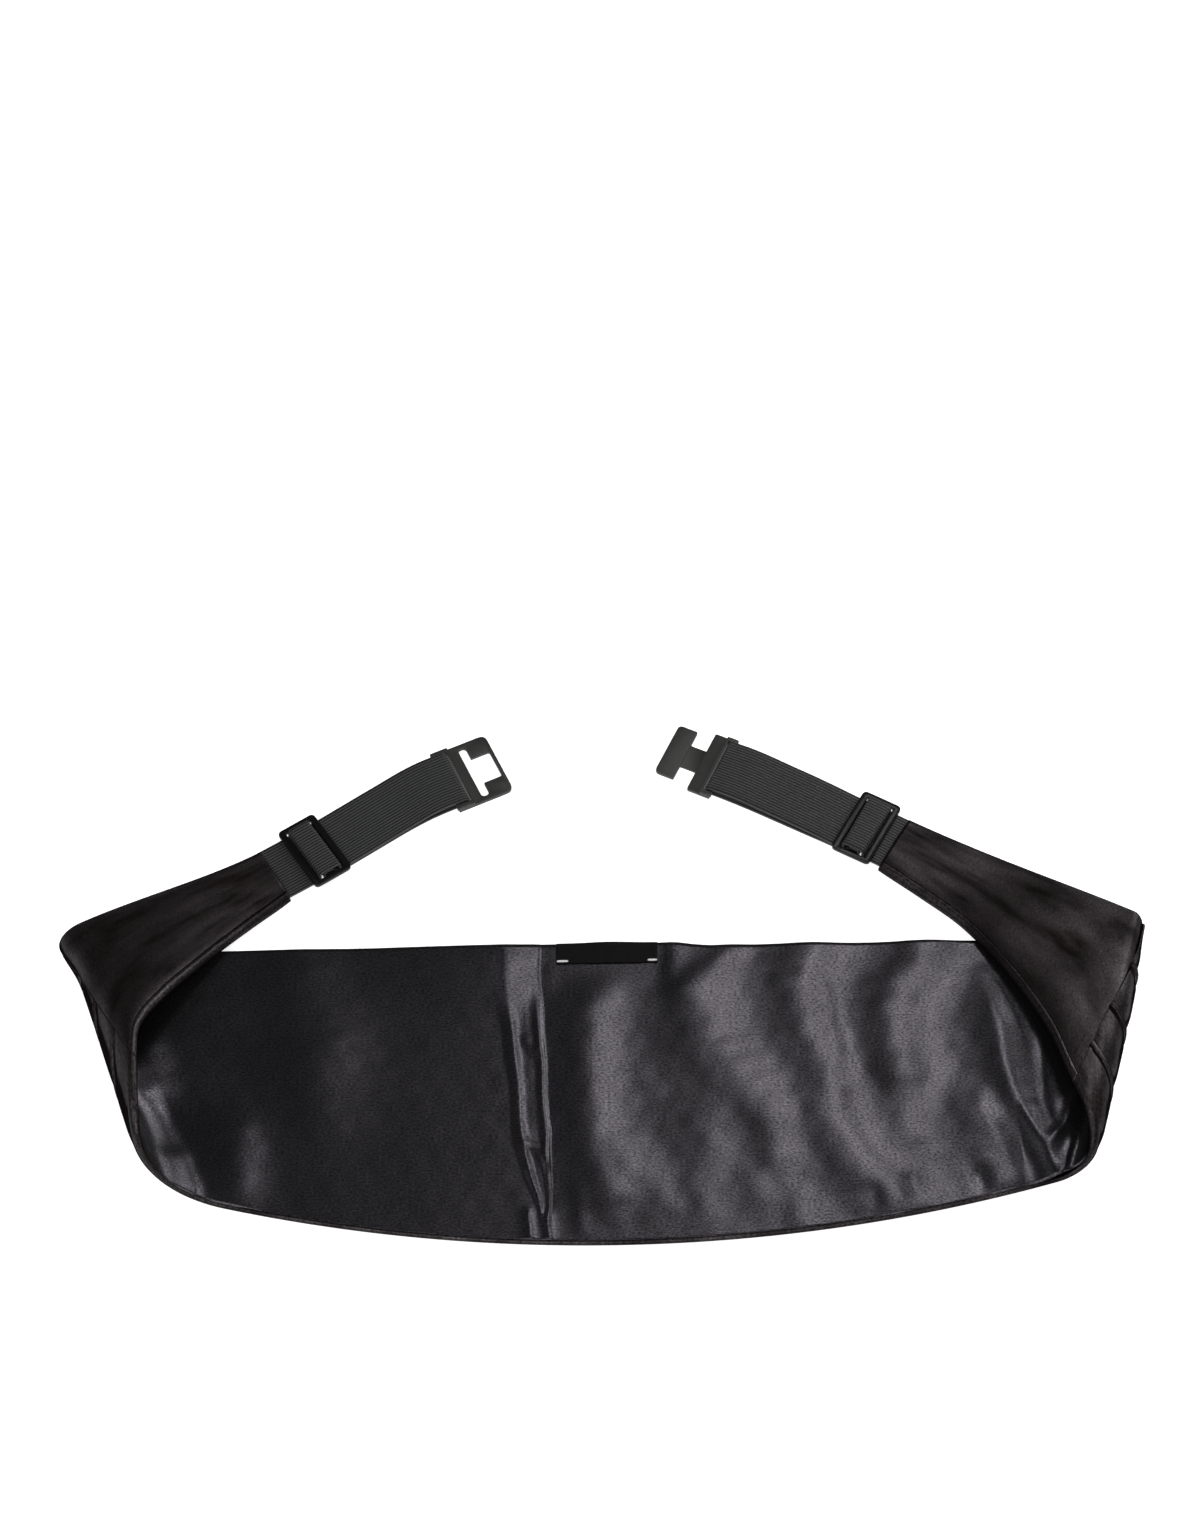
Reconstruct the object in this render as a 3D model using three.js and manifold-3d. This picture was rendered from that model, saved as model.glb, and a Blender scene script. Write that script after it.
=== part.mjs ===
// Cummerbund laid on its pleated front with the lining up and both tapered wings folded over it.
// Millimetres, +Z up. The pattern is flat in (along, down from the top edge) and is then rolled over.
import * as THREE from 'three';
import { mergeVertices } from 'three/addons/utils/BufferGeometryUtils.js';
import Module from 'manifold-3d';

const wasm = await Module();
wasm.setup();
const { degToRad, lerp, smoothstep } = THREE.MathUtils;

// Cloth sizes
const panelHeight = 129.3;
const hemRadius = 622;
const seamAt = 215;
const shoulderBeforeSeam = 28;
const shellThickness = 1.2;
const liningThickness = 1;
const layerGap = 0.3;
const seamGap = 0.4;
const liningInset = 2;
const wingTopDrop = 1.5;
// The top edge dips on both sides of the label, up to where the wings cover it
const topDip = { depth: 2.3, from: 24, to: 42, backFrom: 150, backTo: 190 };
const wingEndMargin = 1.25;

// Pleats of the front panel: each one lies over the one above it, nearer the top edge
const pleatCount = 4;
const pleatDepth = 1.05;
const pleatFlatShare = 0.7;
const pleatEdge = 0.8;

// Tuck in the lining left of the centre, at the top edge and at the hem
const tuck = { topFrom: -45, topTo: -29.5, hemFrom: -27, hemTo: -23.5, topHeight: 3, hemHeight: 2 };

// Label at the middle of the top edge
const label = { centre: -1.5, width: 40, height: 9, fromTopEdge: 0.3, thickness: 0.5 };

// Elastic straps
const strapWidth = 25;
const strapThickness = 1;
const clearance = 0.3;
const hookSpan = 64.7;

// Slides on the straps
const slide = {
  length: 17,
  sideClearance: 0.75,
  rail: 2,
  outerBar: 2.8,
  centreBar: 3,
  centreBarThickness: 1.2,
  thickness: 1.8,
  corner: 2,
};

// Hooks at the ends of the straps. A hook's back is how far its bar reaches behind the loop's middle.
const hook = {
  rail: 1.75,
  sideClearance: 0.5,
  barFront: 0.9,
  barThickness: 1.8,
  strapSlot: 2.2,
  body: 6.5,
  straightRun: 2,
};
const hookBack = { left: 3.6, right: 0.9 };
const hookThickness = 1.6;
const neck = { length: 7.1, width: 11, thickness: 0.9 };
const crossBar = { width: 8.4, length: 24.8, thickness: 1.6 };
const slotPlate = {
  strip: 4.9,
  slotPlay: 0.5,
  slotWidthPlay: 1.8,
  windowPlay: 2.2,
  neckPlay: 1.1,
  endWall: 1.5,
  corner: 3,
};

// The two sides differ in how they lie: loop heights, lean of the fold, and how the strap is bent.
// A wing sinks to the floor from droopFrom past the start of its fold.
// Near the top edge, within reach, the loop is pulled outward at its corner or pressed in.
// A taper is that of the wing's lower edge: share of the way from shoulder to end, share of the height lost.
// Turns hold a share of the strap's free length and the angle turned from its start by then.
const sides = {
  left: {
    name: 'left',
    sign: -1,
    wingLength: 90.4,
    foldBeforeSeam: 9.4,
    foldLean: 27.1,
    topLoop: 14,
    hemLoop: 40,
    droopFrom: 12,
    corner: { pull: 1.5, reach: 26 },
    taper: [
      [0, 0], [0.1, 0.06], [0.2, 0.25], [0.3, 0.5], [0.42, 0.635],
      [0.55, 0.745], [0.7, 0.86], [0.85, 0.945], [1, 1],
    ],
    slideAt: 19,
    strapArch: 0.3,
    turns: [[0, 0], [0.35, 2.5], [0.7, 2.5], [1, -7]],
  },
  right: {
    name: 'right',
    sign: 1,
    wingLength: 107.8,
    foldBeforeSeam: 10,
    foldLean: 19.1,
    topLoop: 12,
    hemLoop: 19.3,
    droopFrom: -12,
    corner: { pull: -2.5, reach: 22 },
    taper: [
      [0, 0], [0.1, 0.13], [0.2, 0.29], [0.3, 0.465], [0.42, 0.625],
      [0.55, 0.765], [0.7, 0.89], [0.85, 0.955], [1, 1],
    ],
    slideAt: 13,
    strapArch: 1.8,
    turns: [[0, 0], [0.3, -3], [0.7, -3], [1, -6]],
  },
};

// The loops are measured at the top edge and this share of the panel's height below it
const loopSpanShare = 0.792;

// Across the tuck: share of its width from the left, share of its height
const tuckProfile = [[0, 0], [0.2, 0.25], [0.4, 0.6], [0.6, 0.9], [0.75, 1], [0.9, 0.6], [1, 0]];

// Creases in the lining near the right fold.
// Along as a share of seamAt and down as a share of panelHeight, for both ends, then width and height.
const creases = [
  { from: [0.7, 0.15], to: [0.79, 0.8], width: 9, height: 1.8 },
  { from: [0.84, 0.55], to: [0.81, 0.84], width: 6, height: 1.4 },
];
const creaseFrom = 0.64;

// Levels that follow from the layers
const interfaceGap = layerGap / 2;
const panelLevel = interfaceGap + shellThickness + pleatDepth;
const returnLevel = strapThickness / 2;
const runLevel = returnLevel + strapThickness + clearance;
const wingEndHeight = strapWidth + 2 * wingEndMargin;
const shoulderAt = seamAt - shoulderBeforeSeam;

for (const side of Object.values(sides)) {
  const lean = degToRad(side.foldLean);
  const growth = (side.hemLoop - side.topLoop) / (loopSpanShare * panelHeight);
  const halfAngle = Math.asin(growth) / 2;
  const reach = side.topLoop / growth;
  side.length = seamAt + side.wingLength;
  side.foldAt = seamAt - side.foldBeforeSeam;
  side.fold = {
    lean,
    halfAngle,
    sweep: Math.PI * Math.sin(halfAngle),
    apex: new THREE.Vector2(side.foldAt + reach * Math.sin(lean), reach * Math.cos(lean)),
  };
}

// Smooth curve through the rows of a table
function smoothTable(rows, x, firstSlope) {
  const last = rows.length - 1;
  let row = 0;
  while (row < last - 1 && x > rows[row + 1][0]) row += 1;
  const slope = (index) => {
    if (index === 0 && firstSlope !== undefined) return firstSlope;
    const before = rows[Math.max(index - 1, 0)];
    const after = rows[Math.min(index + 1, last)];
    return (after[1] - before[1]) / (after[0] - before[0]);
  };
  const span = rows[row + 1][0] - rows[row][0];
  const t = THREE.MathUtils.clamp((x - rows[row][0]) / span, 0, 1);
  const rising = t * t * (3 - 2 * t);
  const bend = t * (1 - t) * ((1 - t) * slope(row) - t * slope(row + 1));
  return lerp(rows[row][1], rows[row + 1][1], rising) + span * bend;
}

const sideOf = (x) => (x < 0 ? sides.left : sides.right);

// Height of the cloth below the top edge: an arc along the panel, then the wing's taper
function lowerEdge(x) {
  const side = sideOf(x);
  const along = Math.abs(x);
  const arcDrop = (place) => hemRadius - Math.sqrt(hemRadius ** 2 - place ** 2);
  if (along <= shoulderAt) return panelHeight - arcDrop(along);
  const shoulderHeight = panelHeight - arcDrop(shoulderAt);
  const run = side.length - shoulderAt;
  const fall = shoulderHeight - wingEndHeight;
  const arcSlope = (shoulderAt / Math.sqrt(hemRadius ** 2 - shoulderAt ** 2)) * (run / fall);
  return shoulderHeight - fall * smoothTable(side.taper, (along - shoulderAt) / run, arcSlope);
}

function upperEdge(x) {
  const side = sideOf(x);
  const beyond = Math.max(Math.abs(x) - seamAt, 0) / side.wingLength;
  const dipped = smoothstep(Math.abs(x - label.centre), topDip.from, topDip.to);
  const covered = smoothstep(Math.abs(x), topDip.backFrom, topDip.backTo);
  return topDip.depth * dipped * (1 - covered) + wingTopDrop * beyond ** 1.5;
}

// Place of a pattern point between lining and shell, after the wings are rolled over.
// Each fold is a cone about an axis that leans outward at the top, so the cloth isn't stretched.
function foldedPoint(x, y) {
  const side = sideOf(x);
  const along = Math.abs(x);
  const { lean, halfAngle, sweep, apex } = side.fold;
  const out = (along - apex.x) * Math.cos(lean) - (y - apex.y) * Math.sin(lean);
  const down = -(along - apex.x) * Math.sin(lean) - (y - apex.y) * Math.cos(lean);
  const turn = Math.atan2(out, down);
  if (turn <= 0) return new THREE.Vector3(x, y, panelLevel);
  const radius = Math.hypot(out, down);
  const wrap = Math.min(turn / Math.sin(halfAngle), Math.PI);
  const past = Math.max(turn - sweep, 0);
  const sin = Math.sin(halfAngle);
  const cos = Math.cos(halfAngle);
  const ray = new THREE.Vector3(
    -cos * cos - sin * sin * Math.cos(wrap),
    sin * Math.sin(wrap),
    sin * cos * (1 - Math.cos(wrap)),
  );
  const tangent = new THREE.Vector3(sin * Math.sin(wrap), Math.cos(wrap), cos * Math.sin(wrap));
  ray.multiplyScalar(Math.cos(past)).addScaledVector(tangent, Math.sin(past)).multiplyScalar(radius);
  const { x: up, z: rise } = ray;
  const outward = ray.y + side.corner.pull * Math.sin(wrap) * Math.exp(-((y / side.corner.reach) ** 2));
  const settled = smoothstep(along, side.foldAt + side.droopFrom, side.length);
  return new THREE.Vector3(
    side.sign * (apex.x + up * Math.sin(lean) + outward * Math.cos(lean)),
    apex.y + up * Math.cos(lean) - outward * Math.sin(lean),
    lerp(panelLevel + rise, runLevel, settled),
  );
}

// A point offset from there, towards the lining where the offset is positive
function clothPoint(x, y, offset) {
  const step = 0.02;
  const across = foldedPoint(x + step, y).sub(foldedPoint(x - step, y));
  const upward = foldedPoint(x, y + step).sub(foldedPoint(x, y - step));
  return foldedPoint(x, y).addScaledVector(across.cross(upward).normalize(), offset);
}

// Where a straight line of the fold's cone meets the hem; share 0 starts the fold and 1 ends it
function rulingAt(side, share, y) {
  const { apex, lean, sweep } = side.fold;
  return side.sign * (apex.x - (apex.y - y) * Math.tan(lean - sweep * share));
}

function rulingAtHem(side, share) {
  let x = rulingAt(side, share, -panelHeight / 2);
  for (let pass = 0; pass < 20; pass += 1) x = rulingAt(side, share, -lowerEdge(x));
  return x;
}

// Marks hold a rib's place at the hem and at the top edge, and the steps to the next mark
function ribsThrough(marks) {
  const ribs = [];
  marks.slice(0, -1).forEach(([hem, top, steps], index) => {
    const [nextHem, nextTop] = marks[index + 1];
    for (let step = 0; step < steps; step += 1) {
      ribs.push([lerp(hem, nextHem, step / steps), lerp(top, nextTop, step / steps)]);
    }
  });
  ribs.push(marks.at(-1).slice(0, 2));
  return ribs;
}

function indexedGeometry(vertices, triangles) {
  const geometry = new THREE.BufferGeometry().setFromPoints(vertices);
  geometry.setIndex(triangles);
  geometry.computeVertexNormals();
  return geometry;
}

// Closed slab of cloth over a grid of ribs and of heights, each height with its two faces' offsets
function clothSlab(ribs, heights, inset = 0) {
  const columns = heights.length;
  const face = (offsetOf) => ribs.flatMap(([hem, top]) => heights.map((height) => {
    const x = lerp(hem, top, height.share);
    const y = lerp(-lowerEdge(x) + inset, -upperEdge(x) - inset, height.share);
    return clothPoint(x, y, offsetOf(height, x, y));
  }));
  const vertices = [...face((h, x, y) => h.inner(x, y)), ...face((h, x, y) => h.outer(x, y))];
  const inner = (rib, column) => rib * columns + column;
  const outer = (rib, column) => ribs.length * columns + inner(rib, column);
  const triangles = [];
  const quad = (a, b, c, d) => triangles.push(a, b, c, a, c, d);
  for (let rib = 0; rib < ribs.length - 1; rib += 1) {
    for (let column = 0; column < columns - 1; column += 1) {
      quad(inner(rib, column), inner(rib + 1, column), inner(rib + 1, column + 1), inner(rib, column + 1));
      quad(outer(rib, column), outer(rib, column + 1), outer(rib + 1, column + 1), outer(rib + 1, column));
    }
    quad(outer(rib, 0), outer(rib + 1, 0), inner(rib + 1, 0), inner(rib, 0));
    const last = columns - 1;
    quad(inner(rib, last), inner(rib + 1, last), outer(rib + 1, last), outer(rib, last));
  }
  const end = ribs.length - 1;
  for (let column = 0; column < columns - 1; column += 1) {
    quad(outer(0, column), inner(0, column), inner(0, column + 1), outer(0, column + 1));
    quad(outer(end, column), outer(end, column + 1), inner(end, column + 1), inner(end, column));
  }
  return indexedGeometry(vertices, triangles);
}

const evenHeights = (steps, inner, outer) => Array.from({ length: steps + 1 }, (_, step) => (
  { share: step / steps, inner, outer }
));

// Lining: one piece from wing end to wing end, with the tuck and creases raised in it
function tuckRise(x, y) {
  const height = 1 + y / panelHeight;
  const from = lerp(tuck.hemFrom, tuck.topFrom, height);
  const to = lerp(tuck.hemTo, tuck.topTo, height);
  const across = (x - from) / (to - from);
  if (across <= 0 || across >= 1) return 0;
  const fade = smoothstep(height, 0.03, 0.12) * (1 - smoothstep(height, 0.88, 0.97));
  return fade * lerp(tuck.hemHeight, tuck.topHeight, height) * smoothTable(tuckProfile, across);
}

function creaseRise(x, y) {
  const place = new THREE.Vector3(x, y, 0);
  const nearest = new THREE.Vector3();
  return creases.reduce((sum, { from, to, width, height }) => {
    const start = new THREE.Vector3(from[0] * seamAt, -from[1] * panelHeight, 0);
    const finish = new THREE.Vector3(to[0] * seamAt, -to[1] * panelHeight, 0);
    new THREE.Line3(start, finish).closestPointToPoint(place, true, nearest);
    return sum + height * Math.exp(-(((2 * nearest.distanceTo(place)) / width) ** 2));
  }, 0);
}

const liningRise = (x, y) => tuckRise(x, y) + creaseRise(x, y);

// Ribs from the start of a side's fold to its seam and on to the wing's end, the same for all layers
const foldStart = (side, steps) => [rulingAtHem(side, 0), rulingAt(side, 0, 0), steps];
const uprightMark = (side, along, steps) => [side.sign * along, side.sign * along, steps];
const foldSteps = 14;
const loopSteps = 8;
const wingSteps = 9;
const clothHeights = 8;
const loopEnd = (side) => side.foldAt + (Math.PI / 2) * side.topLoop + 2;

function liningGeometry() {
  const { left, right } = sides;
  const tuckMarks = tuckProfile.map(([share]) => [
    lerp(tuck.hemFrom, tuck.hemTo, share), lerp(tuck.topFrom, tuck.topTo, share), 1,
  ]);
  const [hem, top] = tuckMarks.pop();
  const marks = [
    uprightMark(left, left.length - liningInset, wingSteps),
    uprightMark(left, loopEnd(left), loopSteps),
    uprightMark(left, seamAt, foldSteps),
    foldStart(left, 9),
    ...tuckMarks,
    [hem, top, 7],
    [creaseFrom * seamAt, creaseFrom * seamAt, 12],
    foldStart(right, foldSteps),
    uprightMark(right, seamAt, loopSteps),
    uprightMark(right, loopEnd(right), wingSteps),
    uprightMark(right, right.length - liningInset, 0),
  ];
  const inner = (x, y) => interfaceGap + liningThickness + liningRise(x, y);
  const outer = (x, y) => interfaceGap + liningRise(x, y);
  return clothSlab(ribsThrough(marks), evenHeights(clothHeights, inner, outer), liningInset);
}

// Shell layer, with heights at both sides of every pleat's edge so that panel and wings match at a seam
function shellHeights(proudDepth) {
  const inner = () => -interfaceGap;
  const sunk = () => -interfaceGap - shellThickness;
  const proud = () => -interfaceGap - shellThickness - proudDepth;
  const edgeShare = pleatEdge / panelHeight;
  const heights = [];
  for (let pleat = 0; pleat < pleatCount; pleat += 1) {
    const hem = pleat / pleatCount;
    const top = (pleat + 1) / pleatCount;
    heights.push({ share: pleat === 0 ? 0 : hem + edgeShare, inner, outer: sunk });
    heights.push({ share: lerp(top, hem, pleatFlatShare), inner, outer: proud });
    heights.push({ share: top, inner, outer: proud });
  }
  return heights;
}

// Front panel: its outer face steps out at the upper edge of every pleat
function panelGeometry() {
  const end = seamAt - seamGap / 2;
  const { left, right } = sides;
  const marks = [
    uprightMark(left, end, foldSteps),
    foldStart(left, 10),
    [0, 0, 10],
    foldStart(right, foldSteps),
    uprightMark(right, end, 0),
  ];
  return clothSlab(ribsThrough(marks), shellHeights(pleatDepth));
}

function wingGeometry(side) {
  const marks = [
    uprightMark(side, seamAt + seamGap / 2, loopSteps),
    uprightMark(side, loopEnd(side), wingSteps),
    uprightMark(side, side.length, 0),
  ];
  const ribs = ribsThrough(marks);
  if (side.sign < 0) ribs.reverse();
  return clothSlab(ribs, shellHeights(0));
}

function labelGeometry() {
  const top = -label.fromTopEdge;
  const seat = interfaceGap + liningThickness + clearance;
  const middle = foldedPoint(label.centre, top - label.height / 2);
  const geometry = new THREE.BoxGeometry(label.width, label.height, label.thickness);
  return geometry.translate(middle.x, middle.y, middle.z + seat + label.thickness / 2);
}

// Plan of a strap: it leaves the middle of the wing's end at a right angle, bends by its turns and
// runs straight from the hook's back on
function strapPlan(side) {
  const x = side.sign * side.length;
  const low = foldedPoint(x, -lowerEdge(x));
  const high = foldedPoint(x, -upperEdge(x));
  const startHeading = Math.atan2(high.y - low.y, high.x - low.x) + (side.sign * Math.PI) / 2;
  const barAt = side.slideAt + hookSpan;
  const bendTo = barAt - hookBack[side.name] - hook.straightRun;
  const headingAt = (s) => {
    const turned = degToRad(smoothTable(side.turns, THREE.MathUtils.clamp(s / bendTo, 0, 1)));
    return startHeading - side.sign * turned;
  };
  const steps = 60;
  const reach = 1.1 * barAt;
  const middles = [new THREE.Vector2((low.x + high.x) / 2, (low.y + high.y) / 2)];
  for (let step = 0; step < steps; step += 1) {
    const heading = headingAt(((step + 0.5) * reach) / steps);
    const stride = new THREE.Vector2(Math.cos(heading), Math.sin(heading)).multiplyScalar(reach / steps);
    middles.push(middles.at(-1).clone().add(stride));
  }
  const middleAt = (s) => {
    const step = THREE.MathUtils.clamp(Math.floor((s * steps) / reach), 0, steps - 1);
    return middles[step].clone().lerp(middles[step + 1], (s * steps) / reach - step);
  };
  return { barAt, headingAt, middleAt };
}

// Side view of a strap, as (along, up): out through the slide, round the hook's bar, back under
// itself and round the slide's centre bar
const slideBottom = runLevel + strapThickness / 2 + clearance;
const centreBarLevel = slideBottom + slide.thickness / 2;
const wrapRadius = slide.centreBarThickness / 2 + clearance + strapThickness / 2;
const overLevel = centreBarLevel + wrapRadius + strapThickness + clearance;
const hookBarBottom = strapThickness + clearance;
const hookBarLevel = hookBarBottom + hook.barThickness / 2;
const hookWrapRadius = hookBarLevel - returnLevel;
const hookWrapAt = hook.barFront - 0.4;

const halfTurn = (centre, radius, from, steps = 6) => Array.from({ length: steps + 1 }, (_, step) => {
  const angle = from - (Math.PI * step) / steps;
  return [centre[0] + radius * Math.cos(angle), centre[1] + radius * Math.sin(angle)];
});

function strapPath(side, barAt) {
  const middle = side.slideAt;
  const inner = slide.length / 2 - slide.outerBar;
  const wrapReach = slide.centreBar / 2 + wrapRadius + strapThickness / 2;
  const riser = (inner + wrapReach) / 2;
  const climb = [
    [inner + 0.6, runLevel],
    [inner - 0.2, runLevel],
    [riser + 0.35, runLevel + 0.3],
    [riser, runLevel + strapThickness],
    [riser, overLevel - 1.2],
    [riser - 0.35, overLevel - 0.4],
    [riser - 1.1, overLevel],
  ];
  const up = climb.map(([s, z]) => [middle - s, z]);
  const down = climb.map(([s, z]) => [middle + s, z]).reverse();
  const archFrom = middle + slide.length / 2 + clearance;
  const archTo = barAt - hookBack[side.name] - clearance;
  const hookOver = hookBarLevel + hookWrapRadius;
  const shares = Array.from({ length: 9 }, (_, step) => (step + 1) / 10);
  const arch = shares.map((share) => {
    const rise = side.strapArch * Math.sin(Math.PI * share);
    return [lerp(archFrom, archTo, share), lerp(runLevel, hookOver, smoothstep(share, 0.5, 0.97)) + rise];
  });
  const back = shares.map((share) => [lerp(archTo, archFrom, share), returnLevel]);
  const wrapUnder = centreBarLevel - wrapRadius;
  return [
    [clearance, runLevel],
    ...up,
    ...down,
    [archFrom, runLevel],
    ...arch,
    [archTo, hookOver],
    ...halfTurn([barAt + hookWrapAt, hookBarLevel], hookWrapRadius, Math.PI / 2),
    [archTo, returnLevel],
    ...back,
    [middle + riser, returnLevel],
    [middle + wrapReach, returnLevel + 0.2],
    [middle + slide.centreBar / 2 + 0.9, lerp(returnLevel, wrapUnder, 0.65)],
    [middle + slide.centreBar / 2, wrapUnder],
    ...halfTurn([middle - slide.centreBar / 2, centreBarLevel], wrapRadius, -Math.PI / 2),
    [middle + slide.centreBar / 2, centreBarLevel + wrapRadius],
  ];
}

// The two edges of a band of even thickness along a path, right of it first
function bandEdges(path, thickness) {
  const points = path.map(([s, z]) => new THREE.Vector2(s, z));
  const normals = points.slice(1).map((point, index) => {
    const run = point.clone().sub(points[index]).normalize();
    return new THREE.Vector2(-run.y, run.x);
  });
  return [-1, 1].map((sign) => points.map((point, index) => {
    const before = normals[Math.max(index - 1, 0)];
    const after = normals[Math.min(index, normals.length - 1)];
    const mitre = before.clone().add(after).normalize();
    return point.clone().addScaledVector(mitre, (sign * thickness) / 2 / mitre.dot(after));
  }));
}

function strapGeometry(side, plan) {
  const [under, over] = bandEdges(strapPath(side, plan.barAt), strapThickness);
  const placed = (point, across) => {
    const heading = plan.headingAt(point.x);
    const middle = plan.middleAt(point.x);
    return new THREE.Vector3(
      middle.x + across * Math.sin(heading),
      middle.y - across * Math.cos(heading),
      point.y,
    );
  };
  const half = strapWidth / 2;
  const vertices = under.flatMap((point, index) => [
    placed(point, -half), placed(point, half), placed(over[index], half), placed(over[index], -half),
  ]);
  const triangles = [];
  const quad = (a, b, c, d) => triangles.push(a, b, c, a, c, d);
  for (let ring = 0; ring < vertices.length - 4; ring += 4) {
    [0, 1, 2, 3].forEach((corner) => {
      const next = (corner + 1) % 4;
      quad(ring + corner, ring + 4 + corner, ring + 4 + next, ring + next);
    });
  }
  const end = vertices.length - 4;
  quad(0, 1, 2, 3);
  quad(end + 3, end + 2, end + 1, end);
  return indexedGeometry(vertices, triangles);
}

// Outline with rounded corners, each row holding a corner and its radius
function roundedOutline(corners, path = new THREE.Shape()) {
  corners.forEach(([u, v, radius], index) => {
    const corner = new THREE.Vector2(u, v);
    const before = new THREE.Vector2(...corners.at(index - 1).slice(0, 2));
    const after = new THREE.Vector2(...corners[(index + 1) % corners.length].slice(0, 2));
    const from = corner.clone().addScaledVector(before.sub(corner).normalize(), radius);
    const to = corner.clone().addScaledVector(after.sub(corner).normalize(), radius);
    if (index === 0) path.moveTo(from.x, from.y);
    else path.lineTo(from.x, from.y);
    if (radius > 0) path.quadraticCurveTo(corner.x, corner.y, to.x, to.y);
  });
  path.closePath();
  return path;
}

function block(corners, bottom, top, holes = []) {
  const shape = roundedOutline(corners);
  shape.holes = holes.map((hole) => roundedOutline(hole, new THREE.Path()));
  const rise = { depth: top - bottom, bevelEnabled: false, curveSegments: 4 };
  return new THREE.ExtrudeGeometry(shape, rise).translate(0, 0, bottom);
}

const rectangle = (fromU, toU, halfV, radius = 0) => [
  [fromU, -halfV, radius], [toU, -halfV, radius], [toU, halfV, radius], [fromU, halfV, radius],
];

function toManifold(geometry) {
  geometry.deleteAttribute('normal');
  geometry.deleteAttribute('uv');
  const merged = mergeVertices(geometry, 1e-4);
  return new wasm.Manifold(new wasm.Mesh({
    numProp: 3,
    vertProperties: new Float32Array(merged.getAttribute('position').array),
    triVerts: new Uint32Array(merged.getIndex().array),
  }));
}

function joined(geometries) {
  const mesh = geometries.map(toManifold).reduce((sum, solid) => sum.add(solid)).getMesh();
  const geometry = new THREE.BufferGeometry();
  geometry.setAttribute('position', new THREE.Float32BufferAttribute(mesh.vertProperties, 3));
  geometry.setIndex(new THREE.Uint32BufferAttribute(mesh.triVerts, 1));
  geometry.computeVertexNormals();
  return geometry;
}

// Slide: a frame with a thinner bar across its middle
function slideGeometry() {
  const halfInner = strapWidth / 2 + slide.sideClearance;
  const halfOuter = halfInner + slide.rail;
  const halfLength = slide.length / 2;
  const opening = rectangle(slide.outerBar - halfLength, halfLength - slide.outerBar, halfInner, 0.8);
  const frame = block(
    rectangle(-halfLength, halfLength, halfOuter, slide.corner),
    slideBottom,
    slideBottom + slide.thickness,
    [opening],
  );
  const halfBar = slide.centreBar / 2;
  const bar = block(
    rectangle(-halfBar, halfBar, halfInner + slide.rail / 2),
    centreBarLevel - slide.centreBarThickness / 2,
    centreBarLevel + slide.centreBarThickness / 2,
  );
  return joined([frame, bar]);
}

// Both hooks share the bar that the elastic goes round and the rails that carry it
const hookHalfInner = strapWidth / 2 + hook.sideClearance;
const hookHalfWidth = hookHalfInner + hook.rail;
const hookBodyFrom = hook.barFront + hook.strapSlot;

function hookBar(back) {
  const slot = rectangle(hook.barFront, hookBodyFrom, hookHalfInner);
  const outline = rectangle(-back, hookBodyFrom + 1, hookHalfWidth, 0.6);
  const bar = block(outline, hookBarBottom, hookBarBottom + hook.barThickness, [slot]);
  const rails = [1, -1].map((side) => block([
    [0.6 - back, side * hookHalfInner, 0],
    [hookBodyFrom + 0.5, side * hookHalfInner, 0],
    [hookBodyFrom + 0.5, side * hookHalfWidth, 0],
    [0.6 - back, side * hookHalfWidth, 0],
  ], 0, hookBarBottom + 0.4));
  return [bar, ...rails];
}

function slotPlateGeometry() {
  const slotFrom = hookBodyFrom + slotPlate.strip;
  const slotTo = slotFrom + crossBar.thickness + slotPlate.slotWidthPlay;
  const windowTo = slotTo + neck.length + slotPlate.neckPlay;
  const end = windowTo + slotPlate.endWall;
  const halfSlot = (crossBar.length + slotPlate.slotPlay) / 2;
  const halfWindow = (neck.width + slotPlate.windowPlay) / 2;
  const round = (slotTo - slotFrom) / 2;
  const hole = [
    [slotFrom, -halfSlot, round], [slotTo, -halfSlot, round], [slotTo, -halfWindow, 0.2],
    [windowTo, -halfWindow, 1], [windowTo, halfWindow, 1], [slotTo, halfWindow, 0.2],
    [slotTo, halfSlot, round], [slotFrom, halfSlot, round],
  ];
  const outline = [
    [hookBodyFrom, -hookHalfWidth, 0], [end, -hookHalfWidth, slotPlate.corner],
    [end, hookHalfWidth, slotPlate.corner], [hookBodyFrom, hookHalfWidth, 0],
  ];
  return joined([...hookBar(hookBack.left), block(outline, 0, hookThickness, [hole])]);
}

function crossHookGeometry() {
  const bodyTo = hookBodyFrom + hook.body;
  const barFrom = bodyTo + neck.length;
  const body = block(rectangle(hookBodyFrom, bodyTo, hookHalfWidth, 0.8), 0, hookThickness);
  const stem = block(rectangle(bodyTo - 1, barFrom + 1, neck.width / 2), 0, neck.thickness);
  const cross = block([
    [barFrom, -crossBar.length / 2, 0.6], [barFrom + crossBar.width, -crossBar.length / 2, 2],
    [barFrom + crossBar.width, crossBar.length / 2, 2], [barFrom, crossBar.length / 2, 0.6],
  ], 0, crossBar.thickness);
  return joined([...hookBar(hookBack.right), body, stem, cross]);
}

// Materials
const material = (color, roughness) => new THREE.MeshStandardMaterial({ color, roughness, metalness: 0 });
const liningSatin = material(0x2c2b2e, 0.35);
const shellSatin = material(0x1e1a1b, 0.5);
const elastic = material(0x2d2d2e, 0.85);
const hookPlastic = material(0x2b2a28, 0.6);
const slidePlastic = material(0x151515, 0.3);
const labelCloth = material(0x0c0c0c, 0.8);

// Assembly
const group = new THREE.Group();

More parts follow.
